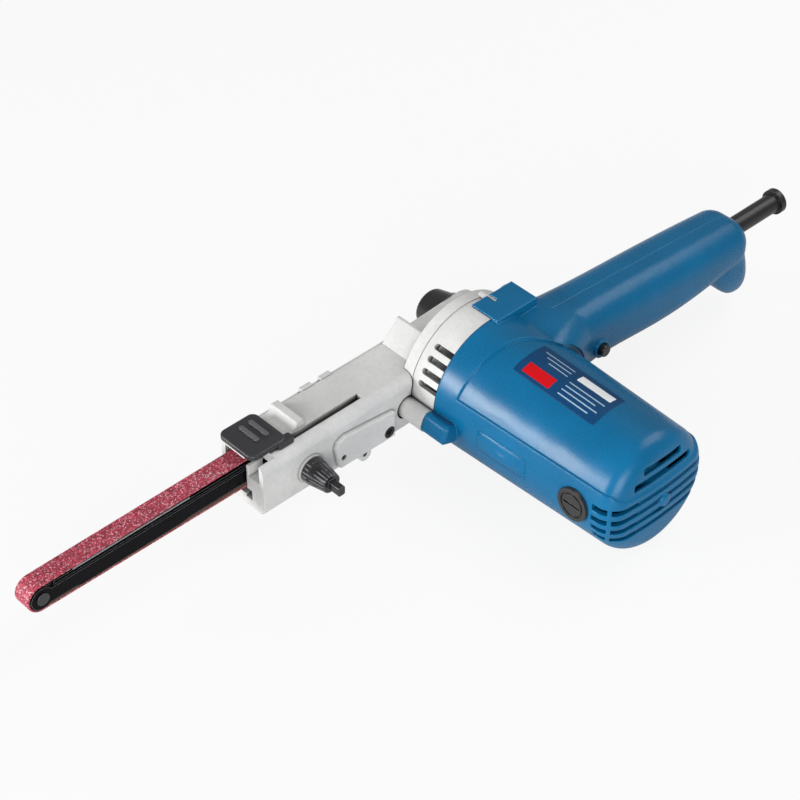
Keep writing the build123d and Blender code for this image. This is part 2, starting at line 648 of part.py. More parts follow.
GEAR_Y = GEAR_ROOM_Y + 0.8
SPINDLE_R = 3.5
SPINDLE_REAR_R = 2.5
SMALL_BEARING_R = 7.0
SMALL_BUSH_R = 4.5
PULLEY_START = -PULLEY_WIDTH / 2


def drive_pulley():
    """Flanged belt pulley on the spindle's end."""
    body = ring_y(PULLEY_R, SPINDLE_R + SEAT_GAP, PULLEY_START, -PULLEY_START, SPINDLE_X)
    rim = BELT_WIDTH / 2 + RUN_GAP
    return body + ring_y(PULLEY_R + 2.2, PULLEY_R - 1, rim, -PULLEY_START, SPINDLE_X)


def pulley_nut():
    """Nut on the end of the spindle."""
    hexagon = Pos(SPINDLE_X, 0) * RegularPolygon(5.2, 6)
    nut = plate_y(hexagon, PULLEY_START - 2.4, PULLEY_START)
    return nut - rod_y(SPINDLE_R + SEAT_GAP, PULLEY_START - 3, PULLEY_START + 1, SPINDLE_X)


def spindle():
    """Stepped spindle that carries the pulley and the gear."""
    front = rod_y(SPINDLE_R, PULLEY_START - 2.2, GEAR_Y + GEAR_WIDTH, SPINDLE_X)
    return front + rod_y(SPINDLE_REAR_R, GEAR_Y + GEAR_WIDTH, PLATE_Y + 3.6, SPINDLE_X)


def spindle_gear():
    """Gear on the spindle; a tooth space faces the pinion."""
    face = Pos(SPINDLE_X, 0) * gear_face(GEAR_TEETH, pi / GEAR_TEETH)
    body = plate_y(face, GEAR_Y, GEAR_Y + GEAR_WIDTH)
    return body - rod_y(SPINDLE_R + SEAT_GAP, GEAR_Y - 1, GEAR_Y + GEAR_WIDTH + 1, SPINDLE_X)


def spindle_bearing():
    """Ball bearing in the wall behind the pulley."""
    return ring_y(SMALL_BEARING_R, SPINDLE_R + SHAFT_GAP, PULLEY_WALL_Y, GEAR_ROOM_Y, SPINDLE_X)


def spindle_bush():
    """Plain bush for the spindle's rear end."""
    return ring_y(SMALL_BUSH_R, SPINDLE_REAR_R + SHAFT_GAP, PLATE_Y, PLATE_Y + 4, SPINDLE_X)


FRONT_BEARING_R = 11.0
FRONT_BEARING_END = PLATE_Y + 7.3
PLATE_THICK = 2.4


def bearing_plate():
    """Plate between the gear chamber and the fan, with the motor's front bearing seat."""
    plate = rod_y(RING_R - RING_WALL - SEAT_GAP, PLATE_Y, PLATE_Y + PLATE_THICK)
    plate += rod_y(FRONT_BEARING_R + 2.5, PLATE_Y, FRONT_BEARING_END + 1.5)
    plate += rod_y(SMALL_BUSH_R + 2, PLATE_Y, PLATE_Y + 5, SPINDLE_X)
    plate -= rod_y(FRONT_BEARING_R + SEAT_GAP, PLATE_Y - 1, FRONT_BEARING_END)
    plate -= rod_y(SHAFT_R + 1.5, PLATE_Y - 1, FRONT_BEARING_END + 3)
    plate -= rod_y(SMALL_BUSH_R + SEAT_GAP, PLATE_Y - 1, PLATE_Y + 4, SPINDLE_X)
    return (plate - rest_cut(REST_WALL + SEAT_GAP)).solid()


def motor_bearing_front():
    """Front ball bearing of the armature."""
    return ring_y(FRONT_BEARING_R, SHAFT_R + SHAFT_GAP, PLATE_Y + 0.3, FRONT_BEARING_END)


# Gear housing

BLOCK_Y = 34.2  # from the belt's middle plane to the rear of the top block
BLUE_BOSS_END = 44.0
BOSS_FAR = GEAR_ROOM_Y - 1
# Each boss: angle, reach, radius, far end, the plane where the housings meet, and its near end
Boss = namedtuple("Boss", "angle reach radius far split end")
SIDE = Boss(SIDE_BOSS, BOSS_REACH, BOSS_R, BOSS_FAR, SPLIT_Y, BLUE_BOSS_END)
TOP = Boss(TOP_BOSS, TOP_REACH, TOP_BOSS_R, TOP_BOSS_FAR, TOP_SPLIT, BLOCK_Y)
LOW = Boss(LOW_BOSS, BOSS_REACH, BOSS_R, BOSS_FAR, SPLIT_Y, BLUE_BOSS_END)
BOSSES = (SIDE, TOP, LOW)


def lug(room):
    """Locating lug of the flange in a notch of the top block, grown by room."""
    x, z = polar(RING_R + 0.2, LUG_ANGLE)
    return rod_y(LUG_R + room, PLATE_Y - 4, LUG_END + room, x, z)


def tunnel_face():
    """Side outline of the belt tunnel between the arm housing and the pulley."""
    roof = HOUSING_TOP + ROOF_RISE
    return outline(
        (SPINDLE_X, -CHAMBER_R),
        (HOUSING_BACK, -HOUSING_LOW),
        (HOUSING_BACK, HOUSING_TOP),
        (HOUSING_BACK - ROOF_RUN, roof),
        (HOUSING_BACK - ROOF_RUN - 1.2, roof),
        (HOUSING_BACK - ROOF_RUN - 2.6, CHAMBER_R + 0.5),
        (SPINDLE_X, CHAMBER_R),
    )


def vent(angle):
    """Radial slot through the ring, open at the motor side."""
    start = PLATE_Y + 1.5
    cut = box(RING_R - RING_WALL - 3, RING_R + 8, start, SPLIT_Y + 1, -VENT_WIDTH / 2, VENT_WIDTH / 2)
    cut = fillet(cut.edges().filter_by(Axis.X).group_by(Axis.Y)[0], VENT_WIDTH / 2 - 0.05)
    return round_about_motor(cut, angle)


def gear_housing():
    """Cast housing: belt tunnel, pulley chamber, gear chamber, flange, vented ring and bosses."""
    body = plate_y(tunnel_face(), -HOUSING_FAR, GEAR_ROOM_Y + 1)
    body += rod_y(CHAMBER_R, -HOUSING_FAR, GEAR_ROOM_Y + 1, SPINDLE_X)
    body += rod_y(FLANGE_R, FLANGE_FAR, FLANGE_NEAR)
    body += rod_y(RING_R, GEAR_ROOM_Y, SPLIT_Y)
    gear_room = GEAR_MODULE * (GEAR_TEETH / 2 + TIP_HEIGHT) + 0.8
    body += rod_y(gear_room + CHAMBER_WALL, FLANGE_FAR, PLATE_Y + CHAMBER_WALL, SPINDLE_X)
    for boss in BOSSES:
        body += rod_y(boss.radius, boss.far, boss.split, *polar(boss.reach, boss.angle))
    body += lug(0)
    body += box(HOUSING_BACK - 14, HOUSING_BACK, PULLEY_WALL_Y, TONGUE_NEAR, -HOUSING_LOW, TONGUE_TOP + 2)
    body += tongue(0, 2)
    body -= rod_y(RING_R - RING_WALL, PLATE_Y, SPLIT_Y + 1) - rest_cut(REST_WALL)
    pinion_room = GEAR_MODULE * (PINION_TEETH / 2 + TIP_HEIGHT) + 0.8
    body -= rod_y(gear_room, GEAR_ROOM_Y, PLATE_Y, SPINDLE_X)
    body -= rod_y(pinion_room, GEAR_ROOM_Y - 1, PLATE_Y + 1)
    inner = CHAMBER_R - CHAMBER_WALL
    body -= rod_y(inner, -HOUSING_FAR - 1, PULLEY_WALL_Y, SPINDLE_X)
    body -= box(SPINDLE_X, HOUSING_BACK + 1, -HOUSING_FAR - 1, PULLEY_WALL_Y, -BELT_ROOM_LOW, BELT_ROOM_TOP)
    body -= rod_y(SMALL_BEARING_R + SEAT_GAP, PULLEY_WALL_Y - 1, GEAR_ROOM_Y + 1, SPINDLE_X)
    for angle in VENT_ANGLES + LOW_VENT_ANGLES:
        body -= vent(angle)
    for boss in BOSSES:
        x, z = polar(boss.reach, boss.angle)
        body -= rod_y(SCREW_R + SEAT_GAP, boss.far - 1, boss.split + 1, x, z)
        body -= rod_y(SCREW_HEAD_R + SEAT_GAP, boss.far - 3, boss.far + SCREW_HEAD, x, z)
    body -= rest_cut(0)
    body -= rod_y(SCREW_R + SEAT_GAP, TONGUE_FAR - 1, TONGUE_NEAR + 1, ARM_SCREW_X, ARM_SCREW_Z)
    body -= rod_z(PIVOT_R + SEAT_GAP, TONGUE_LOW - 1, TONGUE_TOP + 1, PIVOT_X, SLIDE_Y)
    for x, z in COVER_SCREWS:
        body -= rod_y(SCREW_HOLE_R, -HOUSING_FAR - 1, -HOUSING_FAR + 5, x, z)
    return body.solid()


def housing_screws():
    """Long screws from the gear housing into the motor housing."""
    screws = []
    for boss in BOSSES:
        x, z = polar(boss.reach, boss.angle)
        head_end = boss.far + SCREW_HEAD
        screw = rod_y(SCREW_HEAD_R, boss.far, head_end, x, z)
        screw -= rod_y(1.6, boss.far - 1, head_end - 1, x, z)
        screws.append(screw + rod_y(SCREW_R, head_end, boss.end - 2, x, z))
    return group(screws)


# Motor housing and handle


def motor_radius(y):
    """Outer radius of the tapered motor barrel at this distance from the belt plane."""
    part = (y - SPLIT_Y) / (MOTOR_END_Y - MOTOR_END_ROUND - SPLIT_Y)
    return MOTOR_R_FRONT + (MOTOR_R_REAR - MOTOR_R_FRONT) * part


def barrel(shrink, start):
    """Turned barrel with a rounded corner and a slightly domed end, shrunk all round."""
    corner = MOTOR_END_Y - MOTOR_END_ROUND
    side = MOTOR_R_REAR - shrink
    bow = MOTOR_END_ROUND - shrink
    lean = radians(END_LEAN)
    half = (pi / 2 - lean) / 2
    rim = (side - bow + bow * sin(lean), corner + bow * cos(lean))
    mid = (side - bow + bow * cos(half), corner + bow * sin(half))
    dome = rim[0] / sin(lean)
    between = (dome * sin(lean / 2), rim[1] + dome * (cos(lean / 2) - cos(lean)))
    end = rim[1] + dome * (1 - cos(lean))
    first = Polyline((0, end), (0, start), (motor_radius(start) - shrink, start), (side, corner))
    last = ThreePointArc((side, corner), mid, rim)
    top = ThreePointArc(rim, between, (0, end))
    profile = make_face(first.edges() + last.edges() + top.edges())
    return Pos(0, BELT_Y, AXIS_Z) * revolve(Plane.XY * profile, Axis.Y, 360)


# Grip sections: X, half width, top and underside from the motor axis
GRIP = (
    (-30.0, 17.4, 28.9, -5.6),
    (-60.0, 16.1, 27.0, -5.0),
    (-92.0, 16.0, 24.9, -7.4),
    (-120.0, 15.7, 22.9, -6.2),
    (HANDLE_BACK + 4.5, 14.6, 20.4, -4.0),
)
# Flare where the grip grows out of the barrel: X, far side, near side, top and underside
FLARE = (
    (-4.0, 20.0, 69.0, 27.0, -12.0),
    (-20.0, 21.0, 63.0, 29.2, -8.6),
    (-42.0, 24.6, 55.2, 27.2, -4.0),
)
# Drop at the grip's end: height, rear, front and half width
POMMEL = (
    (12.0, HANDLE_BACK + 6.5, HANDLE_BACK + 30.0, 13.6),
    (0.0, HANDLE_BACK + 3.0, HANDLE_BACK + 27.0, 14.2),
    (-8.0, HANDLE_BACK + 1.2, HANDLE_BACK + 22.5, 14.0),
    (-14.0, HANDLE_BACK + 0.5, HANDLE_BACK + 18.5, 12.8),
    (-19.5, HANDLE_BACK + 2.0, HANDLE_BACK + 13.5, 10.0),
    (-22.8, HANDLE_BACK + 5.0, HANDLE_BACK + 9.6, 6.0),
)
GRIP_CORNER = 12.0
GRIP_END_ROUND = 9.5


def rounded(across, along, corner):
    """Rounded rectangle whose corners never meet."""
    return RectangleRounded(across, along, min(corner, 0.46 * across, 0.46 * along))


def cross_section(x, far, near, top, low, corner):
    """Rounded rectangle square to X."""
    middle = (x, at_y((far + near) / 2), at_z((top + low) / 2))
    return Plane(middle, x_dir=(0, 1, 0), z_dir=(1, 0, 0)) * rounded(near - far, top - low, corner)


def grip(shrink):
    """Long grip with a rounded end, shrunk all round."""
    rows = []
    for x, half, top, low in GRIP:
        end = shrink if x == GRIP[-1][0] else 0
        far, near = HANDLE_Y - half + shrink, HANDLE_Y + half - shrink
        rows.append(cross_section(x + end, far, near, top - shrink, low + shrink, GRIP_CORNER - shrink))
    body = loft(rows)
    end_edges = body.faces().sort_by(Axis.X)[0].edges()
    return fillet(end_edges, GRIP_END_ROUND - shrink)


def flare(shrink):
    """Root of the grip, shrunk all round."""
    corner = GRIP_CORNER - shrink
    rows = []
    for x, far, near, top, low in FLARE:
        rows.append(cross_section(x, far + shrink, near - shrink, top - shrink, low + shrink, corner))
    return loft(rows)


def pommel(shrink):
    """Drop at the grip's end, built from level sections, shrunk all round."""
    rows = []
    for z, back, front, half in POMMEL:
        rise = shrink if z == POMMEL[-1][0] else 0
        middle = Plane(((back + front) / 2, at_y(HANDLE_Y), at_z(z + rise)))
        along, across = front - back - 2 * shrink, 2 * (half - shrink)
        if along > 2 and across > 2:
            rows.append(middle * rounded(along, across, 9.0))
    return loft(rows)


def handle_solid(shrink):
    """Grip, flare and drop as one solid, shrunk all round."""
    return grip(shrink) + flare(shrink) + pommel(shrink)


def top_block():
    """Square-edged block behind the gear housing's ring, at the root of the handle."""
    body = box(BLOCK_BACK, BLOCK_FRONT, BLOCK_FAR, BLOCK_Y, 4, BLOCK_TOP)
    return body - lug(RUN_GAP)


LOCK_BOSS_R = LOCK_R + 1.6
LOCK_BOSS_END = HANDLE_Y + 17.6
# Handle screws: X and height above the motor axis
HANDLE_SCREWS = ((HANDLE_BACK + 74.5, 15.0), (HANDLE_BACK + 29.5, 10.0), (HANDLE_BACK + 80.5, -1.0))


def blue_boss(boss):
    """Square screw boss with rounded corners and a chamfered end."""
    side = 2 * boss.radius - 0.8
    turn = Pos(*polar(boss.reach - 1, boss.angle)) * Rot(0, 0, boss.angle + 26)
    body = plate_y(turn * RectangleRounded(side, side, 2.6), boss.split, boss.end)
    return chamfer(body.faces().sort_by(Axis.Y)[-1].edges(), 1.2)


def blue_body():
    """Barrel, block, screw bosses and handle before they are hollowed."""
    body = barrel(0, SPLIT_Y) + top_block() + handle_solid(0)
    for boss in BOSSES:
        body += blue_boss(boss)
    body += rod_y(LOCK_BOSS_R, HANDLE_Y, LOCK_BOSS_END, LOCK_X, LOCK_RISE)
    return body - rod_y(RING_R + RUN_GAP / 2, 0, SPLIT_Y) - dome_step()


def end_slots():
    """Cooling slots: level grooves round the end, open beside the brush cap, and two slots in the dome."""
    cuts = []
    outer = MOTOR_R_REAR + 2
    beyond = MOTOR_END_Y + 4
    skin = barrel(-2, SPLIT_Y) - barrel(END_GROOVE, SPLIT_Y)
    divider = Pos(27.7, at_y(MOTOR_END_Y - 3.5), AXIS_Z) * Rot(0, 0, 45) * Box(20, 1.7, 40)
    for index in range(END_SLOT_COUNT):
        z = END_SLOT_TOP - index * END_SLOT_PITCH
        low, high = z - END_SLOT / 2, z + END_SLOT / 2
        cuts.append(skin & box(-outer, END_OPENING + 1, MOTOR_END_Y - 13, beyond, low, high))
        cuts.append(box(END_OPENING, outer, BRUSH_Y + 9.5, beyond, low, high) - divider)
    for back, front, z in DOME_SLOTS:
        slot = box(back, front, MOTOR_END_Y - 7, beyond, z - DOME_SLOT / 2, z + DOME_SLOT / 2)
        cuts.append(fillet(slot.edges().filter_by(Axis.Y), DOME_SLOT / 3))
    return cuts


def end_nub():
    """Rounded nub on the motor's end."""
    nub = rod_y(NUB_R, MOTOR_END_Y - 2, MOTOR_END_Y + NUB_PROUD, NUB_X, -NUB_DROP)
    return fillet(nub.faces().sort_by(Axis.Y)[-1].edges(), 1.6)


def rest_cut(height):
    """Everything below a plane at this height above the rest face."""
    return Pos(0, 0, height - 50) * Box(800, 500, 100)


def below_side_line():
    """Everything below the side line, which dips on the motor's end."""
    bend, dip = MOTOR_END_Y - 5, STEP_RISE - STEP_END
    line = ((0, STEP_RISE), (bend, STEP_RISE), (bend + 10, STEP_RISE - 2 * dip))
    plane = Plane((-60, BELT_Y, AXIS_Z), x_dir=(0, 1, 0), z_dir=(1, 0, 0))
    return extrude(plane * outline(*line, (bend + 10, -60), (0, -60)), 120)


def dome_step():
    """Shallow step round the dome: above the side line and behind the brow that runs into the handle."""
    brow = Spline(*[(x, at_y(y)) for x, y in BROW])
    back = at_y(MOTOR_END_Y + 10)
    corners = ((-60, at_y(BROW[-1][1])), (-60, back), (60, back), (60, at_y(BROW[0][1])))
    rest = Polyline(brow @ 1, *corners, brow @ 0)
    region = extrude(make_face([brow] + rest.edges()), at_z(60))
    return (barrel(-1, SPLIT_Y) - barrel(DOME_STEP, SPLIT_Y)) & (region - below_side_line())


STATOR_END = STATOR_START + STATOR_LENGTH
BAFFLE_Y = 37.0
BRUSH_BOSS_R = 9.0
SEAT_R = BEARING_R + 2.5
TRIGGER_ROOM = TRIGGER_WIDTH / 2 + RUN_GAP


def handle_room():
    """Hollow of the handle."""
    return handle_solid(HANDLE_WALL) & box(HANDLE_BACK, 0, 0, MOTOR_END_Y, -40, 60)


def blue_shell():
    """Hollow body with its seats, before it is split along the handle."""
    body = blue_body()
    room = barrel(MOTOR_WALL, SPLIT_Y - 1) - rest_cut(REST_WALL)
    body -= room
    body -= handle_room() - barrel(0, SPLIT_Y)
    ribs = []
    rib_out = (motor_radius(STATOR_START) - MOTOR_WALL + motor_radius(STATOR_END) - DOME_STEP) / 2
    for angle in (30, 90, 150, 210, 330):
        rib = box(STATOR_R, rib_out, STATOR_START, STATOR_END, -2, 2)
        ribs.append(round_about_motor(rib - rod_y(STATOR_R, STATOR_START - 1, STATOR_END + 1), angle))
    for rib in ribs:
        body += rib
    seat = rod_y(SEAT_R, REAR_BEARING_Y - 0.5, MOTOR_END_Y - 0.8)
    body += seat - rod_y(BEARING_R + SEAT_GAP, REAR_BEARING_Y - 1, REAR_BEARING_Y + BEARING_WIDTH + 0.2)
    for side in (1, -1):
        boss = rod_x(BRUSH_BOSS_R, side * 17, side * (MOTOR_R_REAR - 1), BRUSH_Y, 0)
        body += boss & barrel(0.5, SPLIT_Y)
        body -= rod_x(HOLDER_R + SEAT_GAP, side * 16, side * 40, BRUSH_Y, 0)
        body -= rod_x(BRUSH_CAP_R + SEAT_GAP, side * CAP_SEAT, side * 40, BRUSH_Y, 0)
    for cut in end_slots():
        body -= cut
    body += end_nub()
    body -= rest_cut(0)
    top_x, top_z = polar(TOP.reach, TOP.angle)
    top_boss = rod_y(TOP.radius, TOP.split, TOP.end, top_x, top_z) & handle_solid(0)
    body += top_boss - rod_y(RING_R + RUN_GAP / 2, 0, SPLIT_Y)
    body -= rod_y(TOP.radius + RUN_GAP, 0, TOP.split, top_x, top_z)
    for boss in BOSSES:
        x, z = polar(boss.reach, boss.angle)
        body -= rod_y(SCREW_R + SEAT_GAP, boss.split - 1, boss.end - 1, x, z)
    body -= rod_y(LOCK_R + RUN_GAP, HANDLE_Y + 8, LOCK_BOSS_END + 1, LOCK_X, LOCK_RISE)
    body -= box(
        TRIGGER_BACK - RUN_GAP,
        TRIGGER_FRONT + RUN_GAP,
        HANDLE_Y - TRIGGER_ROOM,
        HANDLE_Y + TRIGGER_ROOM,
        -30,
        0,
    )
    body -= rod_x(GUARD_R + SEAT_GAP, HANDLE_BACK - 10, HANDLE_BACK + 14, HANDLE_Y, GUARD_RISE)
    return body


HOLDER_R = 6.0
CAP_SEAT = MOTOR_R_REAR - 3.4
COVER_SPACE = 600.0


def far_half():
    """Space of the handle cover: behind the block and on the far side of the handle's middle."""
    return box(HANDLE_SPLIT_X - COVER_SPACE, HANDLE_SPLIT_X, HANDLE_Y - COVER_SPACE, HANDLE_Y, -200, 200)


def screw_posts(side):
    """Screw posts of the handle halves: side 1 on the motor housing, -1 on the cover."""
    posts = []
    for x, z in HANDLE_SCREWS:
        posts.append(rod_y(SCREW_HEAD_R + 1.4, HANDLE_Y, HANDLE_Y + side * 15, x, z) & handle_solid(1.0))
    return posts


def motor_housing(shell):
    """Blue moulding with the barrel and the near half of the handle."""
    body = shell - far_half()
    for post in screw_posts(1):
        body += post
    for x, z in HANDLE_SCREWS:
        body -= rod_y(SCREW_R - 0.3, HANDLE_Y - 1, HANDLE_Y + 12, x, z)
    return body.solids().sort_by(SortBy.VOLUME)[-1]


def handle_cover(shell):
    """Far half of the handle."""
    body = shell & far_half()
    for post in screw_posts(-1):
        body += post
    for x, z in HANDLE_SCREWS:
        body -= rod_y(SCREW_R, HANDLE_Y - 40, HANDLE_Y + 1, x, z)
        body -= rod_y(SCREW_HEAD_R + SEAT_GAP, HANDLE_Y - 40, HANDLE_Y - 11, x, z)
    return body.solids().sort_by(SortBy.VOLUME)[-1]


def handle_screws():
    """Screws that draw the handle halves together."""
    screws = []
    for x, z in HANDLE_SCREWS:
        head = rod_y(SCREW_HEAD_R, HANDLE_Y - 13.4, HANDLE_Y - 11, x, z)
        head -= box(x - 2.2, x + 2.2, HANDLE_Y - 14, HANDLE_Y - 12.4, z - 0.4, z + 0.4)
        head -= box(x - 0.4, x + 0.4, HANDLE_Y - 14, HANDLE_Y - 12.4, z - 2.2, z + 2.2)
        screws.append(head + rod_y(SCREW_R - 0.35, HANDLE_Y - 11, HANDLE_Y + 11, x, z))
    return group(screws)


# Motor inside


def armature_shaft():
    """Shaft with the pinion cut on its front end."""
    teeth = plate_y(gear_face(PINION_TEETH, pi), GEAR_Y, GEAR_Y + GEAR_WIDTH)
    body = rod_y(SHAFT_R, GEAR_Y, REAR_BEARING_Y + BEARING_WIDTH - 0.5)
    return body + teeth


def armature_core():
    """Slotted steel stack on the shaft."""
    face = Circle(ARMATURE_R) - Circle(SHAFT_R + SEAT_GAP)
    slot = Pos(ARMATURE_R - 2.6, 0) * Rectangle(6, 2.0)
    for turn in range(12):
        face -= Rot(0, 0, turn * 30) * slot
    return plate_y(face, STATOR_START + 1, STATOR_END - 1)


def armature_windings():
    """Copper end turns at both ends of the stack."""
    heads = []
    for start, end in ((STATOR_START - 5, STATOR_START + 1), (STATOR_END - 1, STATOR_END + 8)):
        ring = ring_y(ARMATURE_R - 2.6, SHAFT_R + SEAT_GAP, start, end)
        heads.append(fillet(ring.edges().filter_by(GeomType.CIRCLE).group_by(SortBy.RADIUS)[-1], 2.2))
    return group(heads)


def commutator():
    """Copper segments on the shaft."""
    face = Circle(COMMUTATOR_R) - Circle(SHAFT_R + SEAT_GAP)
    for turn in range(24):
        face -= Rot(0, 0, turn * 15) * Pos(COMMUTATOR_R, 0) * Rectangle(1.6, 0.5)
    return plate_y(face, BRUSH_Y - 9, BRUSH_Y + 6)


FAN_Y = FRONT_BEARING_END + 2.2
FAN_END = BAFFLE_Y - 1.0


def cooling_fan():
    """Radial fan on the shaft: hub, disc and blades."""
    fan = rod_y(9.0, FAN_Y, FAN_END) + rod_y(FAN_R, FAN_Y, FAN_Y + 1.4)
    blade = box(8.0, FAN_R - 0.5, FAN_Y + 1, FAN_END - 0.6, -0.6, 0.6)
    for turn in range(11):
        fan += round_about_motor(blade, turn * 360 / 11)
    return (fan - rod_y(SHAFT_R + SEAT_GAP, FAN_Y - 1, FAN_END + 1)).solid()


def air_baffle():
    """Ring that leads the air from the motor to the fan."""
    outer = motor_radius(BAFFLE_Y + 2) - MOTOR_WALL - 0.1
    ring = ring_y(outer, ARMATURE_R + 3, BAFFLE_Y, BAFFLE_Y + 2)
    return ring - rest_cut(REST_WALL + 0.1)


COIL_SPREAD = 36.0
COIL_INNER = STATOR_BORE + 1.4
COIL_OUTER = STATOR_R - 3.6


def coil_sector(angle, grow, y0, y1):
    """Curved coil bundle about the motor axis."""
    start = angle - COIL_SPREAD - degrees(grow / COIL_OUTER)
    span = 2 * (angle - start)
    inner, outer = COIL_INNER - grow, COIL_OUTER + grow
    low = CenterArc((0, 0), inner, start, span)
    high = CenterArc((0, 0), outer, start, span)
    face = make_face([low, high, Line(low @ 0, high @ 0), Line(low @ 1, high @ 1)])
    return plate_y(face, y0, y1)


def stator_core():
    """Laminated field stack with room for the two coils."""
    body = ring_y(STATOR_R, STATOR_BORE, STATOR_START, STATOR_END)
    for angle in (0, 180):
        body -= coil_sector(angle, SEAT_GAP + 0.1, STATOR_START - 1, STATOR_END + 1)
    return body


def field_coils():
    """Two copper field coils that stand out of the stack at both ends."""
    return group([coil_sector(angle, 0, STATOR_START - 2, STATOR_END + 6) for angle in (0, 180)])


def motor_bearing_rear():
    """Rear ball bearing of the armature."""
    return ring_y(BEARING_R, SHAFT_R + SHAFT_GAP, REAR_BEARING_Y, REAR_BEARING_Y + BEARING_WIDTH)


BRUSH_OUT = 21.5
BRUSH_GAP = 0.3
HOLDER_IN = 14.5


def brush_holders():
    """Brass tubes that guide the brushes."""
    holders = []
    for side in (1, -1):
        tube = rod_x(HOLDER_R, side * HOLDER_IN, side * (CAP_SEAT - 1.2), BRUSH_Y, 0)
        half_y, half_z = BRUSH_WIDTH / 2 + 0.1, BRUSH_HEIGHT / 2 + 0.1
        tube -= box(side * 10, side * 40, BRUSH_Y - half_y, BRUSH_Y + half_y, -half_z, half_z)
        holders.append(tube)
    return group(holders)


def carbon_brushes():
    """Two carbon brushes on the commutator."""
    brushes = []
    half_y, half_z = BRUSH_WIDTH / 2, BRUSH_HEIGHT / 2
    for side in (1, -1):
        start = side * (COMMUTATOR_R - 0.5)
        block = box(start, side * BRUSH_OUT, BRUSH_Y - half_y, BRUSH_Y + half_y, -half_z, half_z)
        brushes.append(block - rod_y(COMMUTATOR_R + BRUSH_GAP, BRUSH_Y - 9, BRUSH_Y + 9))
    return group(brushes)


def brush_springs():
    """Springs behind the brushes."""
    springs = []
    wire = 0.6
    start, end = BRUSH_OUT + wire, CAP_SEAT - 1.0 - wire
    turns = 4
    path = Helix((end - start) / turns, end - start, 2.0)
    coil = sweep(Plane(path @ 0, z_dir=path % 0) * Circle(wire / 2), path)
    for side in (1, -1):
        springs.append(Pos(side * start, at_y(BRUSH_Y), AXIS_Z) * Rot(0, side * 90, 0) * coil)
    return group(springs)


def brush_caps():
    """Slotted caps that close the brush holders."""
    caps = []
    for side in (1, -1):
        outer = MOTOR_R_REAR + 1.4
        cap = rod_x(BRUSH_CAP_R, side * CAP_SEAT, side * outer, BRUSH_Y, 0)
        cap += rod_x(HOLDER_R - SEAT_GAP, side * (CAP_SEAT - 1), side * CAP_SEAT, BRUSH_Y, 0)
        groove = rod_x(BRUSH_CAP_R - 1.6, side * (outer - 0.7), side * 40, BRUSH_Y, 0)
        groove -= rod_x(BRUSH_CAP_R - 2.6, side * (outer - 0.8), side * 40, BRUSH_Y, 0)
        cap -= groove
        cap -= box(side * (outer - 1.0), side * 40, BRUSH_Y - 4.6, BRUSH_Y + 4.6, -0.7, 0.7)
        caps.append(cap)
    return group(caps)


# Handle inside

HANDLE_LOW = -4.6  # underside of the handle at the trigger
SWITCH_FRONT = -36.0
SWITCH_BACK = -72.0
SWITCH_LOW = 7.0
SWITCH_TOP = 21.0


def switch_body():
    """Switch block above the trigger."""
    body = box(SWITCH_BACK, SWITCH_FRONT, HANDLE_Y - 8, HANDLE_Y + 7.5, SWITCH_LOW, SWITCH_TOP)
    low, top = SWITCH_LOW + 3, SWITCH_TOP - 3
    return body + box(SWITCH_BACK, SWITCH_FRONT, HANDLE_Y - 12.4, HANDLE_Y - 8, low, top)


def trigger():
    """Finger trigger that slides up into the handle."""
    top = SWITCH_LOW - TRIGGER_TRAVEL - RUN_GAP
    half = TRIGGER_WIDTH / 2
    low = HANDLE_LOW - TRIGGER_REACH
    body = box(TRIGGER_BACK, TRIGGER_FRONT, HANDLE_Y - half, HANDLE_Y + half, low, top)
    body = fillet(body.edges().filter_by(Axis.X).group_by(Axis.Z)[0], 4.0)
    lip = HANDLE_LOW + HANDLE_WALL + 1.0
    body += box(TRIGGER_BACK, TRIGGER_FRONT, HANDLE_Y - half - 1.6, HANDLE_Y + half + 1.6, lip, lip + 1.6)
    finger = rod_y(60, HANDLE_Y - 20, HANDLE_Y + 20, (TRIGGER_FRONT + TRIGGER_BACK) / 2, low - 58.4)
    return body - finger


def lock_button():
    """Lock-on button in its ring boss."""
    start = HANDLE_Y + 9.0 + LOCK_TRAVEL
    body = rod_y(LOCK_R, start, LOCK_BOSS_END + LOCK_TRAVEL + 0.6, LOCK_X, LOCK_RISE)
    body = fillet(body.faces().sort_by(Axis.Y)[-1].edges(), 0.8)
    return body + rod_y(LOCK_R + 1.2, start - 1, start + 0.8, LOCK_X, LOCK_RISE)


def cord_guard():
    """Rubber sleeve with an end bead and an inner collar, open for the cord."""
    guard = rod_x(GUARD_R, GUARD_TIP, HANDLE_BACK + 12, HANDLE_Y, GUARD_RISE)
    guard += rod_x(GUARD_R + 1.5, GUARD_TIP, GUARD_TIP + 3, HANDLE_Y, GUARD_RISE)
    inner = GRIP[-1][0] + HANDLE_WALL + 1.5
    guard += rod_x(GUARD_R + 1.2, inner, inner + 3, HANDLE_Y, GUARD_RISE)
    return guard - rod_x(GUARD_BORE, GUARD_TIP - 1, HANDLE_BACK + 20, HANDLE_Y, GUARD_RISE)


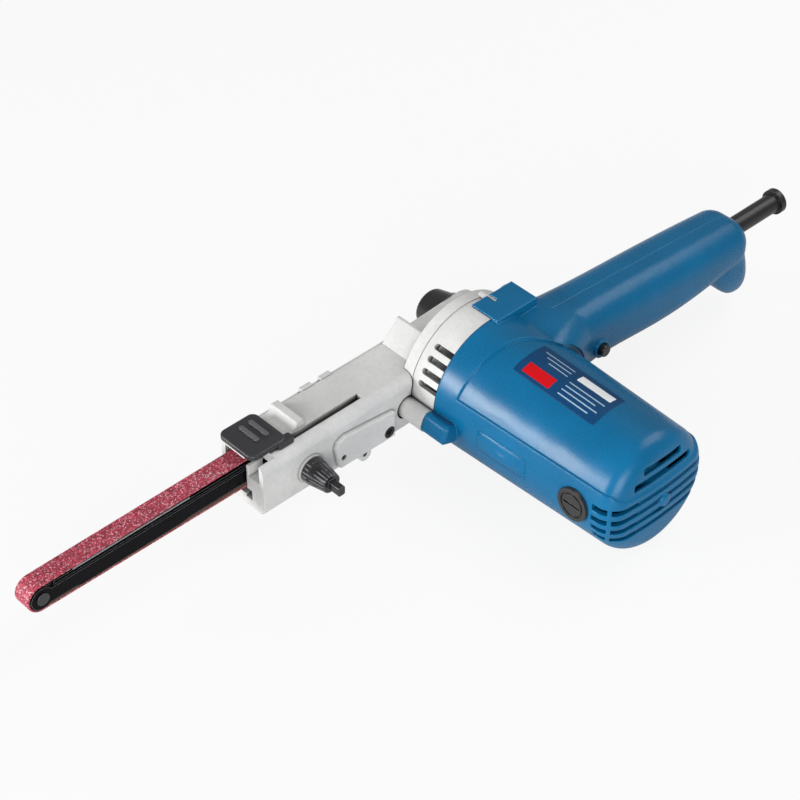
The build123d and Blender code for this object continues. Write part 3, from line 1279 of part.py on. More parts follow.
SHELL = blue_shell()
NODES = {
    "sanding_belt": sanding_belt(),
    "belt_arm": belt_arm(),
    "arm_platens": platens(),
    "tip_roller": tip_roller(),
    "tip_roller_pin": tip_pin(),
    "arm_carrier": arm_carrier(),
    "carrier_pivot_pin": pivot_pin(),
    "tension_spring": tension_spring(),
    "tension_tab": tension_tab(),
    "tracking_knob": tracking_knob(),
    "arm_housing": arm_housing(),
    "arm_screw": arm_screw(),
    "belt_cover": belt_cover(),
    "belt_cover_screws": cover_screws(),
    "pulley_cap": pulley_cap(),
    "drive_pulley": drive_pulley(),
    "pulley_nut": pulley_nut(),
    "spindle": spindle(),
    "spindle_gear": spindle_gear(),
    "spindle_bearing": spindle_bearing(),
    "spindle_bush": spindle_bush(),
    "bearing_plate": bearing_plate(),
    "motor_bearing_front": motor_bearing_front(),
    "gear_housing": gear_housing(),
    "housing_screws": housing_screws(),
    "motor_housing": motor_housing(SHELL),
    "handle_cover": handle_cover(SHELL),
    "handle_screws": handle_screws(),
    "armature_shaft": armature_shaft(),
    "armature_core": armature_core(),
    "armature_windings": armature_windings(),
    "commutator": commutator(),
    "cooling_fan": cooling_fan(),
    "air_baffle": air_baffle(),
    "stator_core": stator_core(),
    "field_coils": field_coils(),
    "motor_bearing_rear": motor_bearing_rear(),
    "brush_holders": brush_holders(),
    "carbon_brushes": carbon_brushes(),
    "brush_springs": brush_springs(),
    "brush_caps": brush_caps(),
    "switch_body": switch_body(),
    "trigger": trigger(),
    "lock_button": lock_button(),
    "cord_guard": cord_guard(),
}
for node, shape in NODES.items():
    save(node, shape)
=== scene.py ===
"""Dresses the narrow belt sander: finishes for its CAD pieces, grit belt, spring, plates and studio."""
import json
import math
from functools import cached_property

import bpy
import numpy as np
from bpy.props import FloatProperty, FloatVectorProperty, IntProperty, PointerProperty
from bpy.types import Operator, Panel, PropertyGroup
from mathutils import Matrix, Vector


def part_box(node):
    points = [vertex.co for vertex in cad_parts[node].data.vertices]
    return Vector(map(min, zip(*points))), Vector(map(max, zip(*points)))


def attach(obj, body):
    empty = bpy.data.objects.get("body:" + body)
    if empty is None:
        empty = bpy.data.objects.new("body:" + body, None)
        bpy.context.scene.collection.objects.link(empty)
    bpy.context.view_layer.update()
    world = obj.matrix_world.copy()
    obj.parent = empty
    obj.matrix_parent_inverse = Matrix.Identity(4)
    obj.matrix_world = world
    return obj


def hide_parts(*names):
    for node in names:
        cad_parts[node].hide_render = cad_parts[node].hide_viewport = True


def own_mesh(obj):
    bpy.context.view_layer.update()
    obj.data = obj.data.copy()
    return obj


bl_info = {
    "name": "Narrow belt sander",
    "version": (1, 0, 0),
    "blender": (4, 5, 0),
    "location": "View3D > Sidebar > Sander",
    "description": "Finishes, grit belt, spring, plates and studio for a narrow belt sander",
    "category": "Object",
}

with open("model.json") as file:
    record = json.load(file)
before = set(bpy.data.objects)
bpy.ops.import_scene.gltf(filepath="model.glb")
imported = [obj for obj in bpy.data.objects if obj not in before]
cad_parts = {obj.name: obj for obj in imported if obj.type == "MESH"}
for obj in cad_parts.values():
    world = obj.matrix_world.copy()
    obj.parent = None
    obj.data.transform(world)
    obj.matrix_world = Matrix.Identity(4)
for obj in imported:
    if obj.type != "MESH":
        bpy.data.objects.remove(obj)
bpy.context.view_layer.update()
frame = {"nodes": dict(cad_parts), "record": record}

MM = 0.001
AXIS_Z = 29.5 * MM  # motor axis above the rest face

# Belt loop, the same as in the solids; both radii reach to the belt's mid-line
BELT_Y = -80.0 * MM
BELT_WIDTH = 9.0 * MM
BELT_THICK = 1.0 * MM
TIP_X = 222.402 * MM
TIP_R = 6.4 * MM
PULLEY_X = -21.0 * MM
PULLEY_R = 8.3 * MM

# Faces of the belt
GRAIN_SEED = 9
GRAIN_BLURS = 1
GRIT_EDGE_DROP = 0.12 * MM  # how far the grit lies lower along both edges
CLOTH_STEPS = 5  # points over the cloth face

# Tension spring, with wire and turns as in the solids
SPRING_WIRE = 0.8 * MM
SPRING_TURNS = 5
SPRING_RINGS = 28  # rings of points in one turn
SPRING_SIDES = 10  # points round the wire

# Motor barrel, the same as in the solids
BARREL_FRONT = -49.7 * MM
BARREL_CORNER = 43.0 * MM
BARREL_R_FRONT = 32.7 * MM
BARREL_R_REAR = 29.8 * MM
DOME_STEP = 1.0 * MM  # how far the top lies under the barrel's round

# Plate on top of the motor and pad on its side: place of the middle, size and height over the barrel
PLATE_X, PLATE_Y = 2.0 * MM, -0.3 * MM
PLATE_ACROSS, PLATE_ALONG, PLATE_CORNER = 20.0 * MM, 46.5 * MM, 0.8 * MM
PLATE_TOP, PLATE_RIM = 0.20 * MM, 0.16 * MM
PAD_RISE, PAD_Y = 0.3 * MM, -10.0 * MM
PAD_ACROSS, PAD_ALONG, PAD_CORNER = 11.5 * MM, 28.0 * MM, 1.2 * MM
PAD_TOP, PAD_RIM = 0.16 * MM, 0.10 * MM
PLATE_SINK = 0.30 * MM  # how deep both stand in the barrel
PLATE_STEPS = 96  # points round each ring
PLATE_SHARES = np.array([0.0, 0.5, 0.985, 1.0, 1.0])[:, None]  # size of each ring against the outline

# Print on the plate, in millimetres from the origin; strip and bar give low X, high X, low Y and high Y
PRINT_END = 20.0  # how far the print reaches both ways along Y
STRIP = (-5.4, -1.4, 1.0, PRINT_END)
RED_BAR = (4.6, 10.2, -PRINT_END, -4.5)
RULE_PITCH = 2.4
RULE_SHORTER = 3.0
LONG_RULES, LONG_RULES_X, LONG_RULE_WIDTH, LONG_RULE_START = 4, 1.6, 0.55, 0.0
SHORT_RULES, SHORT_RULES_X, SHORT_RULE_WIDTH, SHORT_RULE_END = 3, -5.0, 0.5, -3.0
RULE_COVER = 0.85  # how much of the ground a rule hides
PRINT_SOFT = 0.06 * MM  # width over which the print's edges fade

# Painted highlights on the controls: rib tops and knob flutes
RIB_SHEEN_START, RIB_SHEEN_FULL = 0.30 * MM, 0.05 * MM  # below the ribs' tops, where the painted highlight starts and is full
FLUTE_SHEEN_LINES = 20.0  # painted highlight lines round the knob
FLUTE_INSIDE = 3.8 * MM  # radius of the knob's plain middle
FLUTE_FADE = 0.5 * MM

# Colours of the smaller finishes
WHITE = (1.0, 1.0, 1.0)
FLOOR_GREY = (0.70, 0.70, 0.70)
BARE_STEEL = (0.50, 0.50, 0.51)
DARK_STEEL = (0.085, 0.085, 0.088)
BRASS = (0.62, 0.45, 0.18)
CARBON = (0.02, 0.02, 0.021)
CAP_RESIN = (0.026, 0.024, 0.023)
# pale arm edges: part wear, part painted highlight
ARM_EDGE_SHEEN = (0.34, 0.345, 0.355)
GRIT_GLINT = (0.86, 0.46, 0.50)
GRIT_DARK = (0.10, 0.008, 0.018)
CLOTH_DARK, CLOTH_PALE = (0.10, 0.055, 0.04), (0.22, 0.13, 0.09)
COPPER_DARK, COPPER_PALE = (0.18, 0.055, 0.018), (0.62, 0.24, 0.09)
STRIP_PALE = (0.80, 0.82, 0.83)
RULE_PALE = (0.42, 0.56, 0.70)

# Shading of the CAD pieces
WELD_REACH = 0.002 * MM
SHARP_ANGLE = math.radians(26.0)

# Studio, in metres: each lamp's place and side length
LAMPS = {
    "key": ((-0.62, 0.12, 1.02), 0.8),
    "edge": ((1.19, -0.70, 0.31), 0.40),
    "side": ((0.98, 0.90, 0.48), 0.8),
}
LAMP_AIM = (0.0, 0.0, 0.03)
FLOOR_HALF = 4.0
FLOOR_Z = -0.1 * MM
SENSOR_MM = 36.0
CLIP_START = 0.05

# Colour sockets of a Mix node, whose names aren't unique
MIX_FIRST, MIX_SECOND = 6, 7


def colour_property(name, value, text):
    """A colour that a user may change."""
    return FloatVectorProperty(
        name=name, description=text, subtype="COLOR", size=3, min=0.0, max=1.0, default=value
    )


def length_property(name, value, text):
    """A length that a user may change, in metres."""
    return FloatProperty(name=name, description=text, default=value, min=0.0, unit="LENGTH")


def power_property(name, value, text):
    """The power of a lamp that a user may change, in watts."""
    return FloatProperty(name=name, description=text, default=value, min=0.0, unit="POWER")


def count_property(name, value, least, text):
    """A number of points that a user may change."""
    return IntProperty(name=name, description=text, default=value, min=least)


def share_property(name, value, text):
    """A share from 0 to 1 that a user may change."""
    return FloatProperty(name=name, description=text, default=value, min=0.0, max=1.0, subtype="FACTOR")


class SanderFinish(PropertyGroup):
    """Colours of the sander's finishes, widths of their edges and reach of the painted shade in creases."""

    blue: colour_property("Moulding blue", (0.002, 0.119, 0.265), "Motor housing and handle")
    casting: colour_property("Casting grey", (0.65, 0.65, 0.64), "Arm and gear housing")
    black: colour_property("Black", (0.010, 0.010, 0.011), "Tab, knob, cap and guard")
    grit: colour_property("Grit", (0.46, 0.046, 0.086), "Abrasive grain of the belt")
    arm: colour_property("Arm black", (0.004, 0.004, 0.005), "Coated steel arm")
    panel: colour_property("Panel blue", (0.004, 0.050, 0.140), "Plain plate on the motor")
    accent: colour_property("Accent red", (0.56, 0.004, 0.008), "Coloured bar on the plate")
    edge_round: length_property("Edge rounding", 0.35 * MM, "Radius at which hard edges catch the light")
    # reach of the painted shade that darkens slots and joints
    painted_shade_reach: length_property("Crease reach", 4.0 * MM, "Width of the slots and joints that look dark")


class SanderBelt(PropertyGroup):
    """Steps and grain of the grit belt."""

    steps_along: count_property("Steps along", 1500, 200, "Points round the loop")
    steps_across: count_property("Steps across", 27, 6, "Points over the grit face")
    grain: length_property("Grain height", 0.11 * MM, "Height of the grit")


class SanderStage(PropertyGroup):
    """Camera and light of the studio."""

    lens: FloatProperty(name="Lens", description="Focal length", default=101.43, min=10.0, unit="CAMERA")
    eye: FloatVectorProperty(
        name="Eye",
        description="Camera position",
        subtype="TRANSLATION",
        default=(0.53963, 0.47127, 0.67902),
    )
    aim: FloatVectorProperty(
        name="Aim",
        description="Direction from the object to the camera",
        subtype="XYZ",
        default=(0.51154, 0.54721, 0.66249),
    )
    key: power_property("Key light", 7.0, "Power of the lamp above the handle")
    edge: power_property("Edge light", 14.5, "Power of the low lamp on the arm's far side")
    side: power_property("Side light", 14.5, "Power of the lamp on the motor's side")
    sky: FloatProperty(name="Sky", description="Strength of the even light", default=0.22, min=0.0)
    veil: share_property("Floor white", 0.88, "Share of plain white in the floor")
    mirror: share_property("Mirrored white", 0.18, "Share of the white that reflections see")


class Value:
    """One output of a node; arithmetic on it adds Math nodes."""

    def __init__(self, paint, socket):
        self.paint = paint
        self.socket = socket

    def math(self, operation, *others):
        """Result of a Math node on this value and the others."""
        return self.paint.node("ShaderNodeMath", {"operation": operation}, [self, *others])["Value"]

    def __add__(self, other):
        return self.math("ADD", other)

    def __sub__(self, other):
        return self.math("SUBTRACT", other)

    def __mul__(self, other):
        return self.math("MULTIPLY", other)

    def __rsub__(self, other):
        return self.paint.node("ShaderNodeMath", {"operation": "SUBTRACT"}, [other, self])["Value"]

    __radd__ = __add__
    __rmul__ = __mul__

    def clamped(self):
        """Kept between 0 and 1."""
        return self.paint.node("ShaderNodeClamp", {}, [self])["Result"]

    def step(self, low, high):
        """Smooth rise from 0 at low to 1 at high."""
        settings = {"interpolation_type": "SMOOTHSTEP"}
        return self.paint.node("ShaderNodeMapRange", settings, [self, low, high, 0.0, 1.0])["Result"]


class Paint:
    """The node tree of a material or of the world."""

    def __init__(self, owner):
        owner.use_nodes = True
        self.owner = owner
        self.tree = owner.node_tree

    def node(self, kind, settings, inputs):
        """Adds a node: settings first, then sockets in order or by name; gives its outputs by name."""
        made = self.tree.nodes.new(kind)
        for key, value in settings.items():
            setattr(made, key, value)
        pairs = inputs.items() if isinstance(inputs, dict) else enumerate(inputs)
        for key, value in pairs:
            self.feed(made.inputs[key], value)
        return {socket.name: Value(self, socket) for socket in made.outputs if socket.enabled}

    def feed(self, socket, value):
        """Links a Value, or sets a plain number, vector or colour."""
        if isinstance(value, Value):
            self.tree.links.new(value.socket, socket)
        elif socket.type == "RGBA":
            socket.default_value = (*value[:3], 1.0)
        else:
            socket.default_value = value

    @cached_property
    def place(self):
        """The shaded point in the object's frame, in metres."""
        return self.node("ShaderNodeTexCoord", {}, [])["Object"]

    def axes(self):
        """X, Y and Z of the shaded point in the object's frame."""
        parts = self.node("ShaderNodeSeparateXYZ", {}, [self.place])
        return parts["X"], parts["Y"], parts["Z"]

    def drawn_out(self, scale):
        """The shaded point scaled along each axis; a pattern grows long where the scale is small."""
        return self.node("ShaderNodeMapping", {}, {"Vector": self.place, "Scale": scale})["Vector"]

    def noise(self, scale, detail=3.0, roughness=0.55, place=None):
        """Noise of so many cells per metre, from 0 to 1."""
        inputs = {"Vector": place or self.place, "Scale": scale, "Detail": detail, "Roughness": roughness}
        return self.node("ShaderNodeTexNoise", {"noise_dimensions": "3D"}, inputs)["Fac"]

    def mix(self, factor, first, second):
        """Blends two colours."""
        inputs = {"Factor": factor, MIX_FIRST: first, MIX_SECOND: second}
        return self.node("ShaderNodeMix", {"data_type": "RGBA"}, inputs)["Result"]

    def coated(self, colour, *coats):
        """Lays coats over a colour, each a mask and the colour that it brings."""
        for mask, coat in coats:
            colour = self.mix(mask, colour, coat)
        return colour

    def soft_edges(self, radius):
        """Normals rounded over hard edges, and a mask that is 1 on the edges."""
        rounded = self.node("ShaderNodeBevel", {"samples": 6}, {"Radius": radius})["Normal"]
        flat = self.node("ShaderNodeNewGeometry", {}, [])["Normal"]
        dot = self.node("ShaderNodeVectorMath", {"operation": "DOT_PRODUCT"}, [rounded, flat])["Value"]
        return rounded, (1.0 - dot).step(0.02, 0.25)

    def creases(self, reach, low=0.16, high=0.66):
        """Mask of painted shade: from 1, where a low share of the view within the reach is open, to 0 at the
        high share.
        """
        open_share = self.node("ShaderNodeAmbientOcclusion", {"samples": 8}, {"Distance": reach})["AO"]
        return 1.0 - open_share.step(low, high)

    def bump(self, height, strength, depth, normal=None):
        """Normals tilted by a height of so much depth."""
        inputs = {"Strength": strength, "Distance": depth, "Height": height}
        if normal is not None:
            inputs["Normal"] = normal
        return self.node("ShaderNodeBump", {}, inputs)["Normal"]

    def finish(self, **inputs):
        """Feeds the Principled shader, with underscores for spaces in socket names; gives the material."""
        shader = self.tree.nodes["Principled BSDF"]
        for key, value in inputs.items():
            self.feed(shader.inputs[key.replace("_", " ")], value)
        return self.owner

    def seen_white(self, mirror):
        """Share of plain white that a ray sees: all for the camera, a part for reflections."""
        path = self.node("ShaderNodeLightPath", {}, [])
        reflected = path["Is Glossy Ray"] + path["Is Transmission Ray"]
        return path["Is Camera Ray"] + reflected * mirror

    def show(self, output, share, first, second):
        """Sends a blend of two shaders to the named output node."""
        both = self.node("ShaderNodeMixShader", {}, [share, first, second])["Shader"]
        self.feed(self.tree.nodes[output].inputs["Surface"], both)


def new_paint(name):
    """The paint of a new material."""
    return Paint(bpy.data.materials.new(name))


def tint(colour, factor):
    """A colour made lighter or darker."""
    return tuple(min(1.0, part * factor) for part in colour[:3])


def flute_sheen_mask(paint, node):
    """Painted highlight: mask of thin lines along Y at even angles about a knob's axis, in patches and off
    its middle bar.
    """
    low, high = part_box(node)
    x, _, z = paint.axes()
    across = x - (low[0] + high[0]) / 2
    up = z - (low[2] + high[2]) / 2
    lines = (up.math("ARCTAN2", across) * FLUTE_SHEEN_LINES).math("SINE").step(0.30, 0.95)
    off_bar = (across * across + up * up).math("SQRT").step(FLUTE_INSIDE, FLUTE_INSIDE + FLUTE_FADE)
    patches = paint.noise(190.0, detail=2.0).step(0.40, 0.60)
    return lines * off_bar * patches


def moulding(
    name, colour, settings, grain, roughness, rounding=1.0, shine=0.45, wear_and_sheen=6.0, crown=None, flutes=None
):
    """Moulded plastic: spark grain, slow colour drift, painted shade in slots, edges lighter and smoother
    from wear and painted highlight.

    The crown is the height of ribs whose tops get a painted highlight; flutes names a knob whose flutes get
    painted highlight lines.
    """
    paint = new_paint(name)
    normal, edge = paint.soft_edges(settings.edge_round * rounding)
    drift = paint.noise(28.0, detail=2.0)
    spark = paint.noise(grain, detail=2.0, roughness=0.6)
    fine = paint.noise(grain * 2.7, detail=1.0)
    # painted shade: this mask darkens slots and recesses
    slots = paint.creases(settings.painted_shade_reach)
    # edge colour: part wear, part painted highlight
    wear_and_sheen_colour = tint(colour, wear_and_sheen)
    base = paint.coated(
        paint.mix(drift.step(0.25, 0.75), tint(colour, 0.90), tint(colour, 1.10)),
        (spark.step(0.35, 0.70) * 0.20, tint(colour, 1.35)),
        # edges lighter: part wear, part painted highlight
        (edge * 0.35, wear_and_sheen_colour),
        # painted shade in the slots
        (slots * 0.8, tint(colour, 0.12)),
    )
    if crown is not None:
        # painted highlight on the ribs' tops
        ribs = paint.axes()[2].step(crown - RIB_SHEEN_START, crown - RIB_SHEEN_FULL)
        base = paint.mix(ribs * 0.5, base, wear_and_sheen_colour)
    if flutes is not None:
        # painted highlight lines along the knob's flutes
        base = paint.mix(flute_sheen_mask(paint, flutes) * 0.55, base, tint(colour, wear_and_sheen * 1.6))
    rough = drift * 0.10 + spark * 0.12 + (roughness - 0.10) - edge * 0.08
    return paint.finish(
        Base_Color=base,
        Roughness=rough.clamped(),
        Specular_IOR_Level=shine,
        Normal=paint.bump(spark * 0.7 + fine * 0.3, 0.6, 0.08 * MM, normal),
    )


def casting(name, colour, settings):
    """Fine-blasted alloy casting: pale lacquer with tiny grains, painted shade in pits, slots and joints,
    bright edges.
    """
    paint = new_paint(name)
    normal, edge = paint.soft_edges(settings.edge_round * 1.4)
    drift = paint.noise(45.0, detail=4.0)
    blast = paint.noise(1800.0, detail=2.0, roughness=0.6)
    spots = paint.noise(420.0, detail=2.0)
    # painted shade: a narrow mask darkens where parts meet, a wide one darkens slots and pits
    joints = paint.creases(settings.painted_shade_reach * 0.45, 0.40, 0.86)
    slots = paint.creases(settings.painted_shade_reach * 1.6)
    base = paint.coated(
        paint.mix(drift.step(0.3, 0.7), tint(colour, 0.90), tint(colour, 1.04)),
        (blast.step(0.48, 0.78) * 0.30, tint(colour, 0.62)),
        (spots.step(0.42, 0.70) * 0.22, tint(colour, 0.72)),
        (edge * 0.45, tint(colour, 1.18)),
        # painted shade in joints and slots
        (joints * 0.70, tint(colour, 0.16)),
        (slots * 0.93, tint(colour, 0.03)),
    )
    rough = blast * 0.14 + drift * 0.08 + 0.42 - edge * 0.05
    return paint.finish(
        Base_Color=base,
        Roughness=rough.clamped(),
        Metallic=edge * 0.06,
        Specular_IOR_Level=0.28,
        Normal=paint.bump(blast, 0.45, 0.06 * MM, normal),
    )


def turned_metal(name, colour, settings, roughness):
    """Machined or blackened metal: drawn streaks along Y, faint blotches and polished edges."""
    paint = new_paint(name)
    normal, edge = paint.soft_edges(settings.edge_round * 0.6)
    streak = paint.noise(3800.0, detail=2.0, roughness=0.6, place=paint.drawn_out((1.0, 0.05, 1.0)))
    blotch = paint.noise(90.0, detail=3.0)
    base = paint.coated(
        paint.mix(streak.step(0.3, 0.7), tint(colour, 0.82), tint(colour, 1.12)),
        (blotch.step(0.50, 0.75) * 0.18, tint(colour, 0.6)),
        (edge * 0.4, tint(colour, 1.6)),
    )
    rough = streak * 0.16 + blotch * 0.08 + roughness - edge * 0.06
    return paint.finish(
        Base_Color=base,
        Roughness=rough.clamped(),
        Metallic=1.0,
        Normal=paint.bump(streak, 0.15, 0.03 * MM, normal),
    )


def coated_arm(name, colour, settings):
    """Black coating on the arm: slight orange peel, scuffs along X and pale edges, part wear and part
    painted highlight.
    """
    paint = new_paint(name)
    normal, edge = paint.soft_edges(settings.edge_round)
    peel = paint.noise(700.0, detail=1.0)
    scuff = paint.noise(1900.0, detail=3.0, roughness=0.7, place=paint.drawn_out((0.04, 1.0, 1.0)))
    base = paint.coated(
        colour,
        (scuff.step(0.62, 0.80) * 0.25, tint(colour, 5.0)),
        # pale edges: part wear, part painted highlight
        (edge * 0.7, ARM_EDGE_SHEEN),
    )
    rough = scuff * 0.20 + peel * 0.06 + 0.16
    return paint.finish(
        Base_Color=base,
        Roughness=rough.clamped(),
        Specular_IOR_Level=0.05,
        Normal=paint.bump(peel, 0.06, 0.05 * MM, normal),
    )


def grit_coat(name, colour):
    """Abrasive: every grain has its own shade, a few glint pale pink, resin is dark between grains."""
    paint = new_paint(name)
    inputs = {"Vector": paint.place, "Scale": 1700.0, "Randomness": 1.0}
    cells = paint.node("ShaderNodeTexVoronoi", {"feature": "F1"}, inputs)
    own = paint.node("ShaderNodeSeparateColor", {}, [cells["Color"]])
    patch = paint.noise(160.0, detail=3.0)
    base = paint.coated(
        paint.mix(own["Red"].step(0.1, 0.9), tint(colour, 0.42), tint(colour, 1.45)),
        (own["Green"].step(0.70, 0.92) * 0.85, GRIT_GLINT),
        (own["Blue"].step(0.80, 0.96) * 0.75, GRIT_DARK),
        (cells["Distance"].step(0.25, 0.75) * 0.55, tint(colour, 0.42)),
        (patch.step(0.4, 0.7) * 0.14, tint(colour, 1.5)),
    )
    height = (1.0 - cells["Distance"]) * 0.8 + own["Red"] * 0.6
    return paint.finish(
        Base_Color=base,
        Roughness=0.72 - own["Green"] * 0.22,
        Normal=paint.bump(height, 0.9, 0.16 * MM),
    )


def belt_cloth(name):
    """Woven cloth back of the belt: two crossing thread waves."""
    paint = new_paint(name)
    x, y, _ = paint.axes()
    threads = 9000.0  # radians per metre
    weave = (x * threads).math("SINE") * (y * threads).math("SINE")
    base = paint.mix(weave.step(-0.6, 0.6), CLOTH_DARK, CLOTH_PALE)
    return paint.finish(Base_Color=base, Roughness=0.85, Normal=paint.bump(weave, 0.5, 0.05 * MM))


def wound_copper(name):
    """Lacquered copper wire: fine parallel turns, a little uneven, at even angles about the motor axis."""
    paint = new_paint(name)
    x, _, z = paint.axes()
    turns = 70.0
    uneven = paint.noise(60.0) * 3.0
    wire = ((z - AXIS_Z).math("ARCTAN2", x) * turns + uneven).math("SINE")
    return paint.finish(
        Base_Color=paint.mix(wire.step(-0.5, 0.7), COPPER_DARK, COPPER_PALE),
        Metallic=0.75,
        Roughness=0.32 + wire * 0.05,
        Normal=paint.bump(wire, 0.6, 0.12 * MM),
    )


def plate_print(name, settings):
    """Plain plate: blue ground, a pale strip, a red bar and thin rules, with no lettering."""
    paint = new_paint(name)
    x, y, _ = paint.axes()

    def between(axis, low, high):
        """Mask of a band across one axis, in millimetres."""
        begins = axis.step(low * MM, low * MM + PRINT_SOFT)
        ends = axis.step(high * MM, high * MM + PRINT_SOFT)
        return begins * (1.0 - ends)

    def bar(low_x, high_x, low_y, high_y):
        """Mask of a rectangle, in millimetres."""
        return between(x, low_x, high_x) * between(y, low_y, high_y)

    speck = paint.noise(1500.0, detail=2.0)
    base = paint.coated(
        paint.mix(speck.step(0.3, 0.7), tint(settings.panel, 0.92), tint(settings.panel, 1.1)),
        (bar(*STRIP), STRIP_PALE),
        (bar(*RED_BAR), settings.accent),
    )
    for row in range(LONG_RULES):
        low = LONG_RULES_X + row * RULE_PITCH
        end = PRINT_END - RULE_SHORTER * (row % 2)
        rule = bar(low, low + LONG_RULE_WIDTH, LONG_RULE_START, end)
        base = paint.mix(rule * RULE_COVER, base, RULE_PALE)
    for row in range(SHORT_RULES):
        low = SHORT_RULES_X + row * RULE_PITCH
        start = -PRINT_END + RULE_SHORTER * row
        rule = bar(low, low + SHORT_RULE_WIDTH, start, SHORT_RULE_END)
        base = paint.mix(rule * RULE_COVER, base, RULE_PALE)
    return paint.finish(
        Base_Color=base,
        Roughness=0.36 + speck * 0.08,
        Specular_IOR_Level=0.15,
        Normal=paint.bump(speck, 0.04, 0.02 * MM),
    )


def dress(nodes, material):
    """Gives CAD nodes, named with spaces between, a finish and lets their round faces shade smoothly."""
    for node in nodes.split():
        piece = frame["nodes"][node]
        piece.data.materials.clear()
        piece.data.materials.append(material)
        piece.data.polygons.foreach_set("use_smooth", np.ones(len(piece.data.polygons), dtype=bool))
        weld = piece.modifiers.new("weld", "WELD")
        weld.merge_threshold = WELD_REACH
        creases = piece.modifiers.new("creases", "EDGE_SPLIT")
        creases.split_angle = SHARP_ANGLE
        creases.use_edge_sharp = False
        even = piece.modifiers.new("even_normals", "WEIGHTED_NORMAL")
        even.keep_sharp = True


def new_piece(name, points, faces, material, body="housing"):
    """Puts a worked-out surface into the scene at the origin, riding on a body."""
    mesh = bpy.data.meshes.new(name)
    mesh.from_pydata(points.reshape(-1, 3), [], faces)
    mesh.polygons.foreach_set("use_smooth", np.ones(len(mesh.polygons), dtype=bool))
    mesh.materials.append(material)
    mesh.validate()
    mesh.update()
    piece = bpy.data.objects.new(name, mesh)
    bpy.context.scene.collection.objects.link(piece)
    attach(piece, body)
    return piece


def grid_faces(rows, columns, wrap_rows=False, wrap_columns=False):
    """Quads of a grid of rows by columns, joined end to end where asked.

    Each quad joins a point to its neighbours in the next column and the next row.
    """
    row = np.arange(rows if wrap_rows else rows - 1)[:, None]
    column = np.arange(columns if wrap_columns else columns - 1)[None, :]
    next_row = (row + 1) % rows
    next_column = (column + 1) % columns
    corners = (
        row * columns + column,
        row * columns + next_column,
        next_row * columns + next_column,
        next_row * columns + column,
    )
    return np.stack(np.broadcast_arrays(*corners), -1).reshape(-1, 4)


def ring_faces(rings, steps):
    """Quads between rings, with the first and last ring closed by one face each."""
    quads = grid_faces(rings, steps, wrap_columns=True).tolist()
    first = list(range(steps))[::-1]
    last = list(range((rings - 1) * steps, rings * steps))
    return [*quads, first, last]


def loop_path(along):
    """Points and outward normals of the belt's mid-line; along runs from 0 to 1 round the loop.

    Two straight runs are tangent to an arc about the tip roller and one about the pulley. The lean is the
    angle whose sine is the difference of the radii over the distance between the centres.
    """
    centres = TIP_X - PULLEY_X
    lean = math.asin((PULLEY_R - TIP_R) / centres)
    run = centres * math.cos(lean)
    tip_arc = TIP_R * (math.pi - 2 * lean)
    pulley_arc = PULLEY_R * (math.pi + 2 * lean)
    gone = along * (2 * run + tip_arc + pulley_arc)
    after_top = gone - run
    after_tip = gone - run - tip_arc
    after_low = gone - 2 * run - tip_arc
    on_tip = (after_top >= 0) & (after_tip < 0)
    on_low = (after_tip >= 0) & (after_low < 0)
    on_pulley = after_low >= 0
    upright = math.pi / 2 - lean
    angle = np.full_like(gone, upright)
    angle = np.where(on_tip, upright - after_top / TIP_R, angle)
    angle = np.where(on_low, -upright, angle)
    angle = np.where(on_pulley, -upright - after_low / PULLEY_R, angle)
    from_pulley = np.where(gone < run, gone, run - after_tip)
    share = np.clip(from_pulley / run, 0.0, 1.0)
    straight = ~(on_tip | on_pulley)
    radius = np.where(on_tip, TIP_R, PULLEY_R)
    radius = np.where(straight, PULLEY_R + (TIP_R - PULLEY_R) * share, radius)
    centre = np.where(on_tip, TIP_X, PULLEY_X)
    centre = np.where(straight, PULLEY_X + centres * share, centre)
    normal_x = np.cos(angle)
    normal_z = np.sin(angle)
    return centre + radius * normal_x, AXIS_Z + radius * normal_z, normal_x, normal_z


def smooth_random(shape, seed, passes):
    """Seeded noise on a grid that closes on itself, blurred a few times, scaled to reach 1 or -1.

    A blur takes half of each point and a quarter of either neighbour, along both axes in turn.
    """
    field = np.random.default_rng(seed).normal(size=shape)
    for _ in range(passes):
        for axis in (0, 1):
            field = (np.roll(field, 1, axis) + 2 * field + np.roll(field, -1, axis)) / 4
    return field / np.abs(field).max()


def barrel_radius(y):
    """Radius of the motor barrel at y, on a straight line between those at its two ends."""
    share = (y - BARREL_FRONT) / (BARREL_CORNER - BARREL_FRONT)
    return BARREL_R_FRONT + (BARREL_R_REAR - BARREL_R_FRONT) * share


def rounded_outline(across, along, corner):
    """Points round a rectangle about its middle, with rounded corners, as two arrays.

    Rays at even angles meet the sharp rectangle. A point in the square of a corner is then moved straight
    towards the centre of that corner's arc, onto the arc.
    """
    angle = np.linspace(0.0, 2 * math.pi, PLATE_STEPS, endpoint=False)
    reach = np.maximum(np.abs(np.cos(angle)) / (across / 2), np.abs(np.sin(angle)) / (along / 2))
    edge_a = np.cos(angle) / reach
    edge_b = np.sin(angle) / reach
    centre_a = across / 2 - corner
    centre_b = along / 2 - corner
    over_a = np.abs(edge_a) - centre_a
    over_b = np.abs(edge_b) - centre_b
    in_corner = (over_a > 0) & (over_b > 0)
    length = np.where(in_corner, np.hypot(over_a, over_b), 1.0)
    pull = corner / length
    first = np.where(in_corner, np.sign(edge_a) * (centre_a + over_a * pull), edge_a)
    second = np.where(in_corner, np.sign(edge_b) * (centre_b + over_b * pull), edge_b)
    return first, second


def plate_lifts(top, rim):
    """Height of each of a plate's rings over the barrel; the last one stands in it."""
    return np.array([top, top, top, rim, -PLATE_SINK])[:, None]


